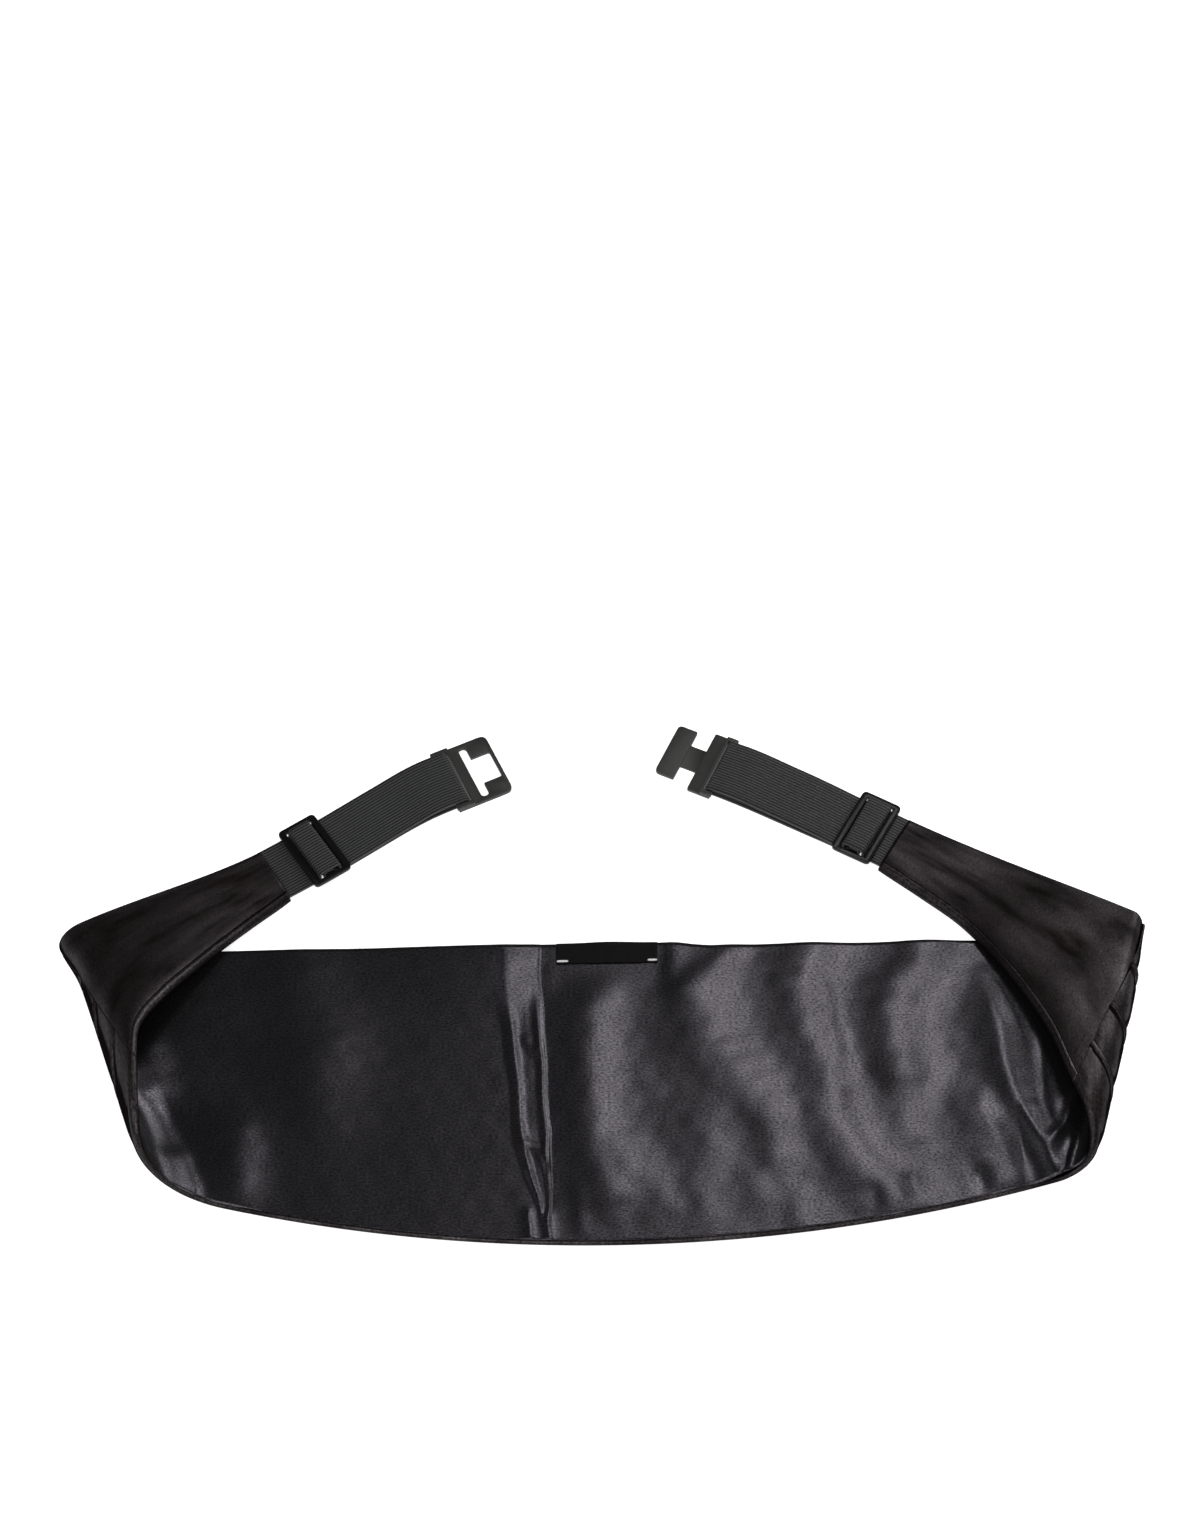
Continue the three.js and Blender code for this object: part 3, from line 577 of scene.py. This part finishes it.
class CUMMERBUND_OT_lining(bpy.types.Operator):
    """Satin lining from wing end to wing end, with its tuck, creases and soft waves"""
    bl_idname = "cummerbund.lining"
    bl_label = "Lining"

    def execute(self, context):
        marks = [
            upright(-LEFT["length"] + 1.5, 50),
            upright(-LEFT["fold_at"] - 25, 26),
            upright(-SEAM_AT, 46),
            fold_mark(LEFT, 60),
            (-42, -54, 46),
            (-20, -24, 100),
            (128, 128, 76),
            fold_mark(RIGHT, 44),
            upright(SEAM_AT, 26),
            upright(RIGHT["fold_at"] + 25, 50),
            upright(RIGHT["length"] - 1.5),
        ]
        x, y = lining_grid(marks, np.linspace(0, 1, 82))
        points = cloth_point(x, y, LINING_LEVEL + lining_rise(x, y))
        piece = make_object(
            "lining_cloth", to_frame(points.reshape(-1, 3)), grid_faces(*x.shape),
            np.stack([x, y], -1).reshape(-1, 2) * 0.001)
        thicken(piece, context.scene.cloth_sizes.satin)
        finish_piece(piece, "satin_lining", "lining_satin", "lining")
        return {"FINISHED"}


def shell_profile(pleated):
    """Rows down a cross-section of the shell, from the lip over the lining's hem edge, round the hem,
    along the outside and over the lining's top edge. A wing has one run with a stitched groove along
    the hem, and the front has a run for each pleat, which climbs and ends in a fold."""
    cloth = settings().cloth_sizes
    lip = cloth.hem_lip * 1000
    count = cloth.pleats if pleated else 1
    rows = [(lip - 0.6, 0, 0, 1.5), (lip - 1, 0, 0, 1.62), *HEM_ROLL]
    for pleat in range(count):
        low, high = pleat / count, (pleat + 1) / count
        start = 1.4 if pleat == 0 else 0.5
        rows.append((start, low, 0, SHELL_LEVEL))
        if not pleated:
            rows += EDGE_STITCH
            start = EDGE_STITCH[-1][0]
        for share in PLEAT_ROWS:
            climb = float(smoothstep(np.array(share), 0.0, 0.34))
            rows.append((start * (1 - share), low + (high - low) * share, 0, SHELL_LEVEL, climb))
        if pleat < count - 1:
            rows += [(inward, high, *rest) for inward, *rest in PLEAT_EDGE]
    return np.array([(*row, 0, 0)[:6] for row in (*rows, *TOP_ROLL)])


def shell_surface(name, marks, pleated, bulge=None):
    """Open surface of the shell: the cross-section's rows carried along the ribs. The pleats fade out
    before the left seam, and towards the right one they lie lower and their edges stand up."""
    inward, share, top_in, level, depth_share, edge = shell_profile(pleated).T
    hem, top = ribs(marks)
    run = np.hypot(np.diff(inward + share * PANEL_HEIGHT - top_in, prepend=0), np.diff(level, prepend=0))
    x = hem[:, None] + (top - hem)[:, None] * share
    if pleated:
        share = share - SINK_SHARE * np.sin(math.pi * share) * smoothstep(x, *PLEATS_SINK)
    low, high = -lower_edge(x), -upper_edge(x)
    y = low + (high - low) * share + inward - top_in
    depth = settings().cloth_sizes.pleat_depth * 1000 * smoothstep(x, *PLEATS_FROM) if pleated else 0.0
    offset = level - depth * (depth_share + edge * smoothstep(x, *EDGES_RISE))
    if bulge is not None:
        offset = offset + bulge(x, y)
    points = cloth_point(x, y, offset)
    uv = np.stack([x, np.broadcast_to(np.cumsum(run), x.shape)], -1).reshape(-1, 2) * 0.001
    piece = make_object(name, to_frame(points.reshape(-1, 3)), grid_faces(*x.shape, flip=True), uv)
    return piece, x, y


class CUMMERBUND_OT_front(bpy.types.Operator):
    """Pleated front panel, rolled over the lining at the hem"""
    bl_idname = "cummerbund.front"
    bl_label = "Front panel"

    def execute(self, context):
        end = SEAM_AT - SEAM_GAP
        marks = [
            upright(-end, 2), upright(-end + 0.5, 50), fold_mark(LEFT, 70), upright(0, 70),
            fold_mark(RIGHT, 50), seam_mark(end - 0.5, 2), seam_mark(end),
        ]
        piece, x, y = shell_surface("front_panel_cloth", marks, True)
        thicken(piece, context.scene.cloth_sizes.satin)
        finish_piece(piece, "satin_shell", "shell_satin", "front_panel")
        return {"FINISHED"}


def wing_waves(x, y):
    """Gentle waves of the wings: two crossed sines, always outwards, that fade at edges and seams."""
    beyond = np.abs(x) - SEAM_AT
    middle = np.clip((-upper_edge(x) - y) * (y + lower_edge(x)) / (lower_edge(x) / 2) ** 2, 0, 1)
    fade = middle * smoothstep(beyond, 2, 25)
    waves = 0.8 + 0.45 * np.sin(x / 9 + y / 12) + 0.35 * np.sin(y / 6.5 - x / 19 + 1.3)
    return -fade * settings().cloth_sizes.wave * waves


def wing_marks(side):
    """Ribs of a wing, from left to right."""
    seam, end = SEAM_AT + SEAM_GAP, side["length"]
    bend = side["fold_at"] + 32
    if side is LEFT:
        return [upright(-end, 70), upright(-bend, 40), upright(-seam - 0.5, 2), upright(-seam)]
    return [seam_mark(seam, 2), seam_mark(seam + 0.5, 40), upright(bend, 70), upright(end)]


class CUMMERBUND_OT_wings(bpy.types.Operator):
    """Both tapered wings, rolled over the lining at their edges"""
    bl_idname = "cummerbund.wings"
    bl_label = "Wings"

    def execute(self, context):
        for name, side in (("left", LEFT), ("right", RIGHT)):
            piece, x, y = shell_surface(f"wing_{name}_cloth", wing_marks(side), False, wing_waves)
            thicken(piece, context.scene.cloth_sizes.satin)
            finish_piece(piece, "satin_shell", "shell_satin", f"wing_{name}")
        return {"FINISHED"}


def strap_plan(side):
    """Middle line of a strap in plan: it leaves the middle of the wing's end at a right angle and its
    heading turns by the side's table, then stays from the hook's back on."""
    x = np.array([side["sign"] * side["length"]] * 2, float)
    low, high = folded(x, np.array([-lower_edge(x)[0], -upper_edge(x)[0]]))
    start = math.atan2(high[1] - low[1], high[0] - low[0]) + side["sign"] * math.pi / 2
    bar_at = side["slide_at"] + SLIDE_TO_BAR
    bend_to = bar_at - side["back"] - 2
    s = np.linspace(-2, 1.1 * bar_at, 400)
    heading = start - side["sign"] * np.radians(smooth_table(side["turns"], np.clip(s / bend_to, 0, 1)))
    stride = np.diff(s, prepend=s[0])
    middle = np.cumsum(np.stack([np.cos(heading), np.sin(heading)], -1) * stride[:, None], 0)
    at_start = np.array([np.interp(0, s, middle[:, i]) for i in (0, 1)])
    middle += (low[:2] + high[:2]) / 2 - at_start
    return s, heading, middle, bar_at


def strap_path(side, bar_at):
    """Side view of a strap as rows of along and up, as the solid's."""
    middle = side["slide_at"]
    level = RUN_LEVEL + ELASTIC / 2 + PLAY + SLIDE_THICKNESS / 2
    half_bar, radius = CENTRE_BAR[0] / 2, CENTRE_BAR[1] / 2 + PLAY + ELASTIC / 2
    over = level + radius + ELASTIC + PLAY
    bar_level = ELASTIC + PLAY + HOOK_BAR / 2
    bar_radius = bar_level - RETURN_LEVEL
    inner, wrap = SLIDE_LENGTH / 2 - OUTER_BAR, half_bar + radius + ELASTIC / 2
    riser = (inner + wrap) / 2
    climb = [(inner + 0.6, RUN_LEVEL), (inner - 0.2, RUN_LEVEL), (riser + 0.35, RUN_LEVEL + 0.3),
             (riser, RUN_LEVEL + ELASTIC), (riser, over - 1.2), (riser - 0.35, over - 0.4),
             (riser - 1.1, over)]
    path = [(PLAY, RUN_LEVEL)]
    path += [(middle - s, z) for s, z in climb] + [(middle + s, z) for s, z in climb[::-1]]
    start, stop = middle + SLIDE_LENGTH / 2 + PLAY, bar_at - side["back"] - PLAY
    share = np.linspace(0, 1, 26)
    hook_over = bar_level + bar_radius
    lift = RUN_LEVEL + (hook_over - RUN_LEVEL) * smoothstep(share, 0.5, 0.97)
    path += list(zip(start + (stop - start) * share, lift + side["arch"] * np.sin(math.pi * share)))
    turn = [(math.sin(a), math.cos(a)) for a in np.linspace(0, math.pi, 9)]
    path += [(bar_at + HOOK_WRAP_AT + bar_radius * out, bar_level + bar_radius * up) for out, up in turn]
    path += [(s, RETURN_LEVEL) for s in np.linspace(stop, middle + riser, 24)]
    under = level - radius
    path += [(middle + wrap, RETURN_LEVEL + 0.2),
             (middle + half_bar + 0.9, RETURN_LEVEL + (under - RETURN_LEVEL) * 0.65),
             (middle + half_bar, under)]
    path += [(middle - half_bar - radius * out, level - radius * up) for out, up in turn]
    path += [(middle + half_bar, level + radius)]
    return np.array(path)


def rounded_path(path):
    """The path with its corners cut: each pass puts points a quarter of the way in from both ends."""
    for _ in range(2):
        cut = np.stack([path[:-1] * 0.75 + path[1:] * 0.25, path[:-1] * 0.25 + path[1:] * 0.75], 1)
        path = np.concatenate([path[:1], cut.reshape(-1, 2), path[-1:]])
    return path


class CUMMERBUND_OT_straps(bpy.types.Operator):
    """Elastic straps, threaded through their slides and round the hooks' bars"""
    bl_idname = "cummerbund.straps"
    bl_label = "Straps"

    def execute(self, context):
        for name, side in (("left", LEFT), ("right", RIGHT)):
            s, heading, middle, bar_at = strap_plan(side)
            path = rounded_path(strap_path(side, bar_at))
            path[0, 0] = -1.2
            across = np.linspace(-1, 1, 13) * (STRAP_WIDTH / 2 - 0.05)
            at = path[:, 0]
            turn = np.interp(at, s, heading)
            mid = np.stack([np.interp(at, s, middle[:, 0]), np.interp(at, s, middle[:, 1])], -1)
            x = mid[:, None, 0] + across * np.sin(turn)[:, None]
            y = mid[:, None, 1] - across * np.cos(turn)[:, None]
            z = np.broadcast_to(path[:, 1, None], x.shape)
            run = np.cumsum(np.hypot(*np.diff(path, axis=0, prepend=path[:1]).T))
            uv = np.stack(np.broadcast_arrays(run[:, None], across[None, :]), -1).reshape(-1, 2) * 0.001
            points = to_frame(np.stack([x, y, z], -1).reshape(-1, 3))
            piece = make_object(f"strap_{name}_elastic", points, grid_faces(*x.shape, flip=True), uv)
            thicken(piece, context.scene.strap_sizes.elastic)
            finish_piece(piece, "ribbed_elastic", "elastic", f"strap_{name}")
        return {"FINISHED"}


class CUMMERBUND_OT_fasteners(bpy.types.Operator):
    """Slides, slotted plate and T-shaped hook, with their edges rounded"""
    bl_idname = "cummerbund.fasteners"
    bl_label = "Slides and hooks"

    def execute(self, context):
        for solid in ("slide_left", "slide_right", "slot_plate", "t_hook"):
            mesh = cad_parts[solid].data.copy()
            mesh.name = f"{solid}_moulded"
            piece = bpy.data.objects.new(f"{solid}_moulded", mesh)
            context.scene.collection.objects.link(piece)
            merge_points(mesh)
            rounding = piece.modifiers.new("Rounding", "BEVEL")
            rounding.width = context.scene.strap_sizes.rounding
            rounding.segments = 3
            rounding.limit_method = "ANGLE"
            rounding.angle_limit = math.radians(40)
            rounding.harden_normals = True
            mesh.polygons.foreach_set("use_smooth", [True] * len(mesh.polygons))
            glossy = solid.startswith("slide")
            material = "gloss_plastic" if glossy else "matte_plastic"
            finish_piece(piece, material, "slide_plastic" if glossy else "hook_plastic", solid)
        return {"FINISHED"}


def merge_points(mesh):
    """Joins a solid's loose triangles and dissolves the flat ones into whole faces."""
    form = bmesh.new()
    form.from_mesh(mesh)
    bmesh.ops.remove_doubles(form, verts=form.verts, dist=1e-6)
    bmesh.ops.dissolve_limit(form, angle_limit=math.radians(1), verts=form.verts, edges=form.edges)
    form.to_mesh(mesh)
    form.free()


class CUMMERBUND_OT_label(bpy.types.Operator):
    """Bare woven label at the top edge, with the two bars of thread that hold it"""
    bl_idname = "cummerbund.label"
    bl_label = "Label"

    def execute(self, context):
        width, height = LABEL_SIZE
        u, v = np.meshgrid(np.linspace(-0.5, 0.5, 81), np.linspace(0, 1, 21), indexing="ij")
        x = LABEL_CENTRE + width * u
        swell = 0.45 * np.exp(-((u - 0.02) / 0.26) ** 2) * (0.3 + 0.7 * v)
        y = -LABEL_DROP - height * (1 - v) + 0.6 * swell * v
        offset = LABEL_LEVEL + swell + 0.05 * np.sin(u * 55) * (1 - v)
        points = cloth_point(x, y, offset)
        piece = make_object(
            "label_cloth", to_frame(points.reshape(-1, 3)), grid_faces(*x.shape),
            np.stack([x, y], -1).reshape(-1, 2) * 0.001)
        thicken(piece, 0.0004)
        finish_piece(piece, "woven_label", "label_cloth", "label")
        bars = [thread_bar(LABEL_CENTRE + along, -LABEL_DROP - height + 0.9, length)
                for along, length in THREAD_BARS]
        points = np.concatenate([p for p, _ in bars])
        faces = np.concatenate([bars[0][1], bars[1][1] + len(bars[0][0])])
        tacks = make_object("label_thread", to_frame(points), faces)
        finish_piece(tacks, "woven_thread", "label_cloth")
        return {"FINISHED"}


def thread_bar(centre, down, length):
    """A bar of close stitches: a capsule along the label's edge whose radius ripples with each stitch."""
    u, angle = np.meshgrid(np.linspace(-1, 1, 41), np.linspace(0, 2 * math.pi, 13), indexing="ij")
    swell = np.sqrt(np.clip(1 - np.abs(u) ** 6, 0, 1)) * (0.36 + 0.06 * np.cos(u * math.pi * 9))
    middle = folded(np.array([centre]), np.array([down]))[0]
    points = np.stack([
        middle[0] + u * length / 2 + 0 * angle,
        middle[1] + swell * np.cos(angle) * 1.25,
        middle[2] + 1.85 + swell * np.sin(angle),
    ], -1)
    return points.reshape(-1, 3), grid_faces(*u.shape)


# ---------------------------------------------------------------- materials

def new_material(name):
    """The node tree and the Principled shader of a new material."""
    material = bpy.data.materials.new(name)
    material.use_nodes = True
    tree = material.node_tree
    tree.nodes.clear()
    output = tree.nodes.new("ShaderNodeOutputMaterial")
    shader = tree.nodes.new("ShaderNodeBsdfPrincipled")
    tree.links.new(shader.outputs[0], output.inputs[0])
    return tree, shader


def fill(tree, made, inputs):
    """Sets a node's sockets, each to a value or to another node's output."""
    for key, value in inputs.items():
        if isinstance(value, bpy.types.NodeSocket):
            tree.links.new(value, made.inputs[key])
        else:
            made.inputs[key].default_value = value


def node(tree, kind, inputs=None, **values):
    """A node with its settings and its sockets filled."""
    made = tree.nodes.new(kind)
    for key, value in values.items():
        setattr(made, key, value)
    fill(tree, made, inputs or {})
    return made


def maths(tree, operation, *values, **extra):
    """The output of a Math node."""
    return node(tree, "ShaderNodeMath", dict(enumerate(values)), operation=operation, **extra).outputs[0]


def noise(tree, place, scale, detail, **more):
    """The output of a noise texture."""
    inputs = {"Vector": place, "Scale": scale, "Detail": detail, **more}
    return node(tree, "ShaderNodeTexNoise", inputs).outputs["Fac"]


def widen(tree, value, low, high):
    """The middle of a noise's range spread from low to high."""
    inputs = {"Value": value, "From Min": 0.3, "From Max": 0.7, "To Min": low, "To Max": high}
    return node(tree, "ShaderNodeMapRange", inputs).outputs["Result"]


def two_tone(tree, factor, colour, dark, light, **extra):
    """A mix between a darker and a lighter tone of a colour."""
    low, high = (tuple(min(1, channel * share) for channel in colour) + (1,) for share in (dark, light))
    return node(tree, "ShaderNodeMix", {0: factor, 6: low, 7: high}, data_type="RGBA", **extra).outputs[2]


def relief(tree, height, strength, distance=0.0001):
    """The normal of a bump, with its distance in metres."""
    inputs = {"Height": height, "Strength": strength, "Distance": distance}
    return node(tree, "ShaderNodeBump", inputs).outputs[0]


def group_tree(name, inputs, outputs):
    """A shader node group with a place, named numbers and their defaults, and named outputs."""
    tree = bpy.data.node_groups.new(name, "ShaderNodeTree")
    tree.interface.new_socket("Place", in_out="INPUT", socket_type="NodeSocketVector")
    for socket, value in inputs.items():
        made = tree.interface.new_socket(socket, in_out="INPUT", socket_type="NodeSocketFloat")
        made.default_value = value
    for socket in outputs:
        tree.interface.new_socket(socket, in_out="OUTPUT", socket_type="NodeSocketFloat")
    return tree, tree.nodes.new("NodeGroupInput"), tree.nodes.new("NodeGroupOutput")


def satin_grain():
    """Fine grain of satin: close floats across the cloth broken by noise, and slow mottling. Gives a
    height for the bump, a mask for the colour, and a factor for the gloss."""
    found = bpy.data.node_groups.get("Satin grain")
    if found:
        return found
    tree, start, end = group_tree(
        "Satin grain", {"Float pitch": 0.0007, "Mottle": 40.0, "Speck": 0.5, "Cloud": 0.3},
        ("Height", "Mask", "Gloss"))
    place = start.outputs["Place"]
    scale = maths(tree, "DIVIDE", 1.0, start.outputs["Float pitch"])
    spread = node(tree, "ShaderNodeVectorMath", {0: place, 3: scale}, operation="SCALE")
    stretch = node(
        tree, "ShaderNodeVectorMath", {0: spread.outputs[0], 1: (0.6, 1.0, 1.0)}, operation="MULTIPLY")
    floats = noise(tree, stretch.outputs[0], 1.0, 2.0, Roughness=0.6)
    mottle = noise(tree, place, start.outputs["Mottle"], 3.0)
    fine = maths(tree, "MULTIPLY_ADD", widen(tree, floats, -1.0, 1.0), start.outputs["Speck"], 1.0)
    slow = maths(tree, "MULTIPLY_ADD", widen(tree, mottle, -1.0, 1.0), start.outputs["Cloud"], 1.0)
    fill(tree, end, {"Height": floats, "Mask": mottle, "Gloss": maths(tree, "MULTIPLY", fine, slow)})
    return tree


def satin_material(name, colour, roughness, mottle, bump, gloss, fade, speck, cloud, tint):
    """Satin: dark yarn under a broad soft gloss that fades at grazing angles, with fine grain in bump
    and gloss and slow mottling."""
    tree, shader = new_material(name)
    place = node(tree, "ShaderNodeUVMap", uv_map="Cloth")
    grain = node(tree, "ShaderNodeGroup", node_tree=satin_grain())
    fill(tree, grain, {"Place": place.outputs[0], "Speck": speck, "Cloud": cloud})
    rim = node(tree, "ShaderNodeLayerWeight", {"Blend": 0.3})
    facing = maths(tree, "MULTIPLY_ADD", rim.outputs["Facing"], -fade, 1.0, use_clamp=True)
    level = maths(tree, "MULTIPLY", grain.outputs["Gloss"], maths(tree, "MULTIPLY", facing, gloss))
    fill(tree, shader, {
        "Base Color": two_tone(tree, grain.outputs["Mask"], colour, 1 - mottle, 1 + mottle),
        "Roughness": roughness,
        "Specular IOR Level": level,
        "Specular Tint": tint + (1,),
        "Normal": relief(tree, grain.outputs["Height"], bump),
    })


def elastic_material(name, colour):
    """Ribbed elastic: raised cords along the strap, broken up by fine fuzz. The colour follows the cords too,
    with painted shade in the grooves and a painted highlight on the cords.
    """
    tree, shader = new_material(name)
    place = node(tree, "ShaderNodeUVMap", uv_map="Cloth")
    split = node(tree, "ShaderNodeSeparateXYZ", {0: place.outputs[0]})
    turns = 2 * math.pi / settings().strap_sizes.rib_pitch
    rib = maths(tree, "COSINE", maths(tree, "MULTIPLY", split.outputs["Y"], turns))
    full = maths(tree, "MULTIPLY_ADD", rib, 0.6, noise(tree, place.outputs[0], 1600.0, 2.0))
    fill(tree, shader, {
        # The base colour reads the ribs' height. The darker grooves are painted shade and the lighter cords a
        # painted highlight. The noise mixed in is the yarn's own fuzz.
        "Base Color": two_tone(tree, full, colour, 0.12, 2.3, clamp_factor=True),
        "Roughness": 0.75,
        "Specular IOR Level": 0.35,
        "Normal": relief(tree, full, 0.8, 0.0003),
    })


def plastic_material(name, colour, roughness, grain, bump, gloss):
    """Moulded plastic with a fine grain in its gloss and bump."""
    tree, shader = new_material(name)
    place = node(tree, "ShaderNodeTexCoord").outputs["Object"]
    speck = noise(tree, place, 1400.0, 2.0)
    fill(tree, shader, {
        "Base Color": two_tone(tree, noise(tree, place, 90.0, 3.0), colour, 0.8, 1.2),
        "Roughness": widen(tree, speck, roughness - grain, roughness + grain),
        "Specular IOR Level": gloss,
        "Normal": relief(tree, speck, bump),
    })


def woven_material(name, colour, pitch):
    """Close plain weave: crossed waves at the pitch of the yarn."""
    tree, shader = new_material(name)
    place = node(tree, "ShaderNodeTexCoord")
    split = node(tree, "ShaderNodeSeparateXYZ", {0: place.outputs["Object"]})
    turns = 2 * math.pi / pitch
    phases = [maths(tree, "MULTIPLY", split.outputs[axis], turns) for axis in "XY"]
    weave = maths(tree, "MULTIPLY", *(maths(tree, "SINE", phase) for phase in phases))
    fill(tree, shader, {
        "Base Color": two_tone(tree, weave, colour, 0.75, 1.3, clamp_factor=True),
        "Roughness": 0.7,
        "Specular IOR Level": 0.12,
        "Normal": relief(tree, weave, 0.3),
    })


MATERIALS = {
    "satin_lining": (satin_material, "lining", dict(
        roughness=0.3, mottle=0.15, bump=0.45, gloss=0.6, fade=1.6, speck=0.7, cloud=0.15,
        tint=(0.95, 0.89, 1.0))),
    "satin_shell": (satin_material, "shell", dict(
        roughness=0.38, mottle=0.25, bump=0.5, gloss=0.33, fade=2.4, speck=0.9, cloud=0.9,
        tint=(1.0, 0.9, 0.94))),
    "ribbed_elastic": (elastic_material, "elastic", {}),
    "matte_plastic": (plastic_material, "hook", dict(roughness=0.5, grain=0.06, bump=0.3, gloss=0.45)),
    "gloss_plastic": (plastic_material, "slide", dict(roughness=0.2, grain=0.04, bump=0.08, gloss=0.1)),
    "woven_label": (woven_material, "label", dict(pitch=0.0005)),
    "woven_thread": (woven_material, "thread", dict(pitch=0.0006)),
}


def find_material(name):
    """The material of a name, made when it is first asked for."""
    if name not in bpy.data.materials:
        build, colour, values = MATERIALS[name]
        build(name, getattr(settings().colours, colour), **values)
    return bpy.data.materials[name]


# ---------------------------------------------------------------- stage

def lamp(name, place, target, size, power):
    """A rectangular soft lamp that faces a target."""
    light = bpy.data.lights.new(name, "AREA")
    light.shape = "RECTANGLE"
    light.size, light.size_y = size
    light.energy = power
    made = bpy.data.objects.new(name, light)
    made.location = place
    made.rotation_euler = (Vector(target) - Vector(place)).to_track_quat("-Z", "Y").to_euler()
    bpy.context.scene.collection.objects.link(made)


class CUMMERBUND_OT_stage(bpy.types.Operator):
    """Pale floor, soft lamps and the camera at the photograph's angle"""
    bl_idname = "cummerbund.stage"
    bl_label = "Stage"

    def execute(self, context):
        scene = context.scene
        stage = scene.stage_sizes
        corners = np.array([(-1, -1, 0), (1, -1, 0), (1, 1, 0), (-1, 1, 0)]) * FLOOR_REACH
        floor = make_object("floor", corners, np.array([(0, 1, 2, 3)]), smooth=False)
        tree, shader = new_material("floor")
        fill(tree, shader, {
            "Base Color": tuple(scene.colours.floor) + (1,),
            "Roughness": 0.9,
            "Specular IOR Level": 0.1,
            "Emission Color": (1, 1, 1, 1),
            "Emission Strength": FLOOR_GLOW,
        })
        floor.data.materials.append(bpy.data.materials["floor"])

        world = bpy.data.worlds.new("Studio")
        world.use_nodes = True
        fill(world.node_tree, world.node_tree.nodes["Background"], {0: (1, 1, 1, 1), 1: SKY_GLOW})
        scene.world = world

        for name, (place, target, size) in LAMPS.items():
            lamp(name, place, target, size, getattr(stage, name))

        angle, roll = stage.pitch, stage.roll
        ahead = np.array([0, math.cos(angle), -math.sin(angle)])
        up = np.array([0, math.sin(angle), math.cos(angle)])
        right = np.array([1.0, 0, 0])
        right, up = right * math.cos(roll) + up * math.sin(roll), up * math.cos(roll) - right * math.sin(roll)
        pixels = stage.lens / SENSOR_HEIGHT * PHOTO_SIZE[1]
        aside, below = ((place - size / 2) / pixels for place, size in zip(PHOTO_CENTRE, PHOTO_SIZE))
        ray = ahead + aside * right - below * up
        place = to_frame(-ray * stage.distance * 1000)
        camera = bpy.data.cameras.new("Camera")
        camera.sensor_fit = "VERTICAL"
        camera.sensor_height = SENSOR_HEIGHT
        camera.lens = stage.lens
        made = bpy.data.objects.new("Camera", camera)
        made.matrix_world = Matrix((
            (right[0], up[0], -ahead[0], place[0]), (right[1], up[1], -ahead[1], place[1]),
            (right[2], up[2], -ahead[2], place[2]), (0, 0, 0, 1)))
        scene.collection.objects.link(made)
        scene.camera = made
        scene.view_settings.view_transform = "Standard"
        return {"FINISHED"}


class CUMMERBUND_PT_panel(bpy.types.Panel):
    """Lists the pieces and their sizes"""
    bl_idname = "CUMMERBUND_PT_panel"
    bl_label = "Cummerbund"
    bl_space_type = "VIEW_3D"
    bl_region_type = "UI"
    bl_category = "Cummerbund"

    def draw(self, context):
        for step in STEPS:
            self.layout.operator(step.bl_idname)
        for group in GROUPS:
            box = self.layout.box()
            values = getattr(context.scene, group)
            for key in values.__annotations__:
                box.prop(values, key)


STEPS = (CUMMERBUND_OT_stage, CUMMERBUND_OT_lining, CUMMERBUND_OT_front, CUMMERBUND_OT_wings,
         CUMMERBUND_OT_straps, CUMMERBUND_OT_fasteners, CUMMERBUND_OT_label)
GROUPS = {"cloth_sizes": ClothSizes, "strap_sizes": StrapSizes, "colours": Colours, "stage_sizes": StageSizes}


def register():
    for made in (*GROUPS.values(), *STEPS, CUMMERBUND_PT_panel):
        bpy.utils.register_class(made)
    for name, group in GROUPS.items():
        setattr(bpy.types.Scene, name, PointerProperty(type=group))


def unregister():
    for name in GROUPS:
        delattr(bpy.types.Scene, name)
    for made in (CUMMERBUND_PT_panel, *reversed(STEPS), *reversed(tuple(GROUPS.values()))):
        bpy.utils.unregister_class(made)


def main():
    register()
    for step in STEPS:
        group, name = step.bl_idname.split(".")
        getattr(getattr(bpy.ops, group), name)()
    bpy.context.view_layer.update()


if __name__ == "__main__":
    main()
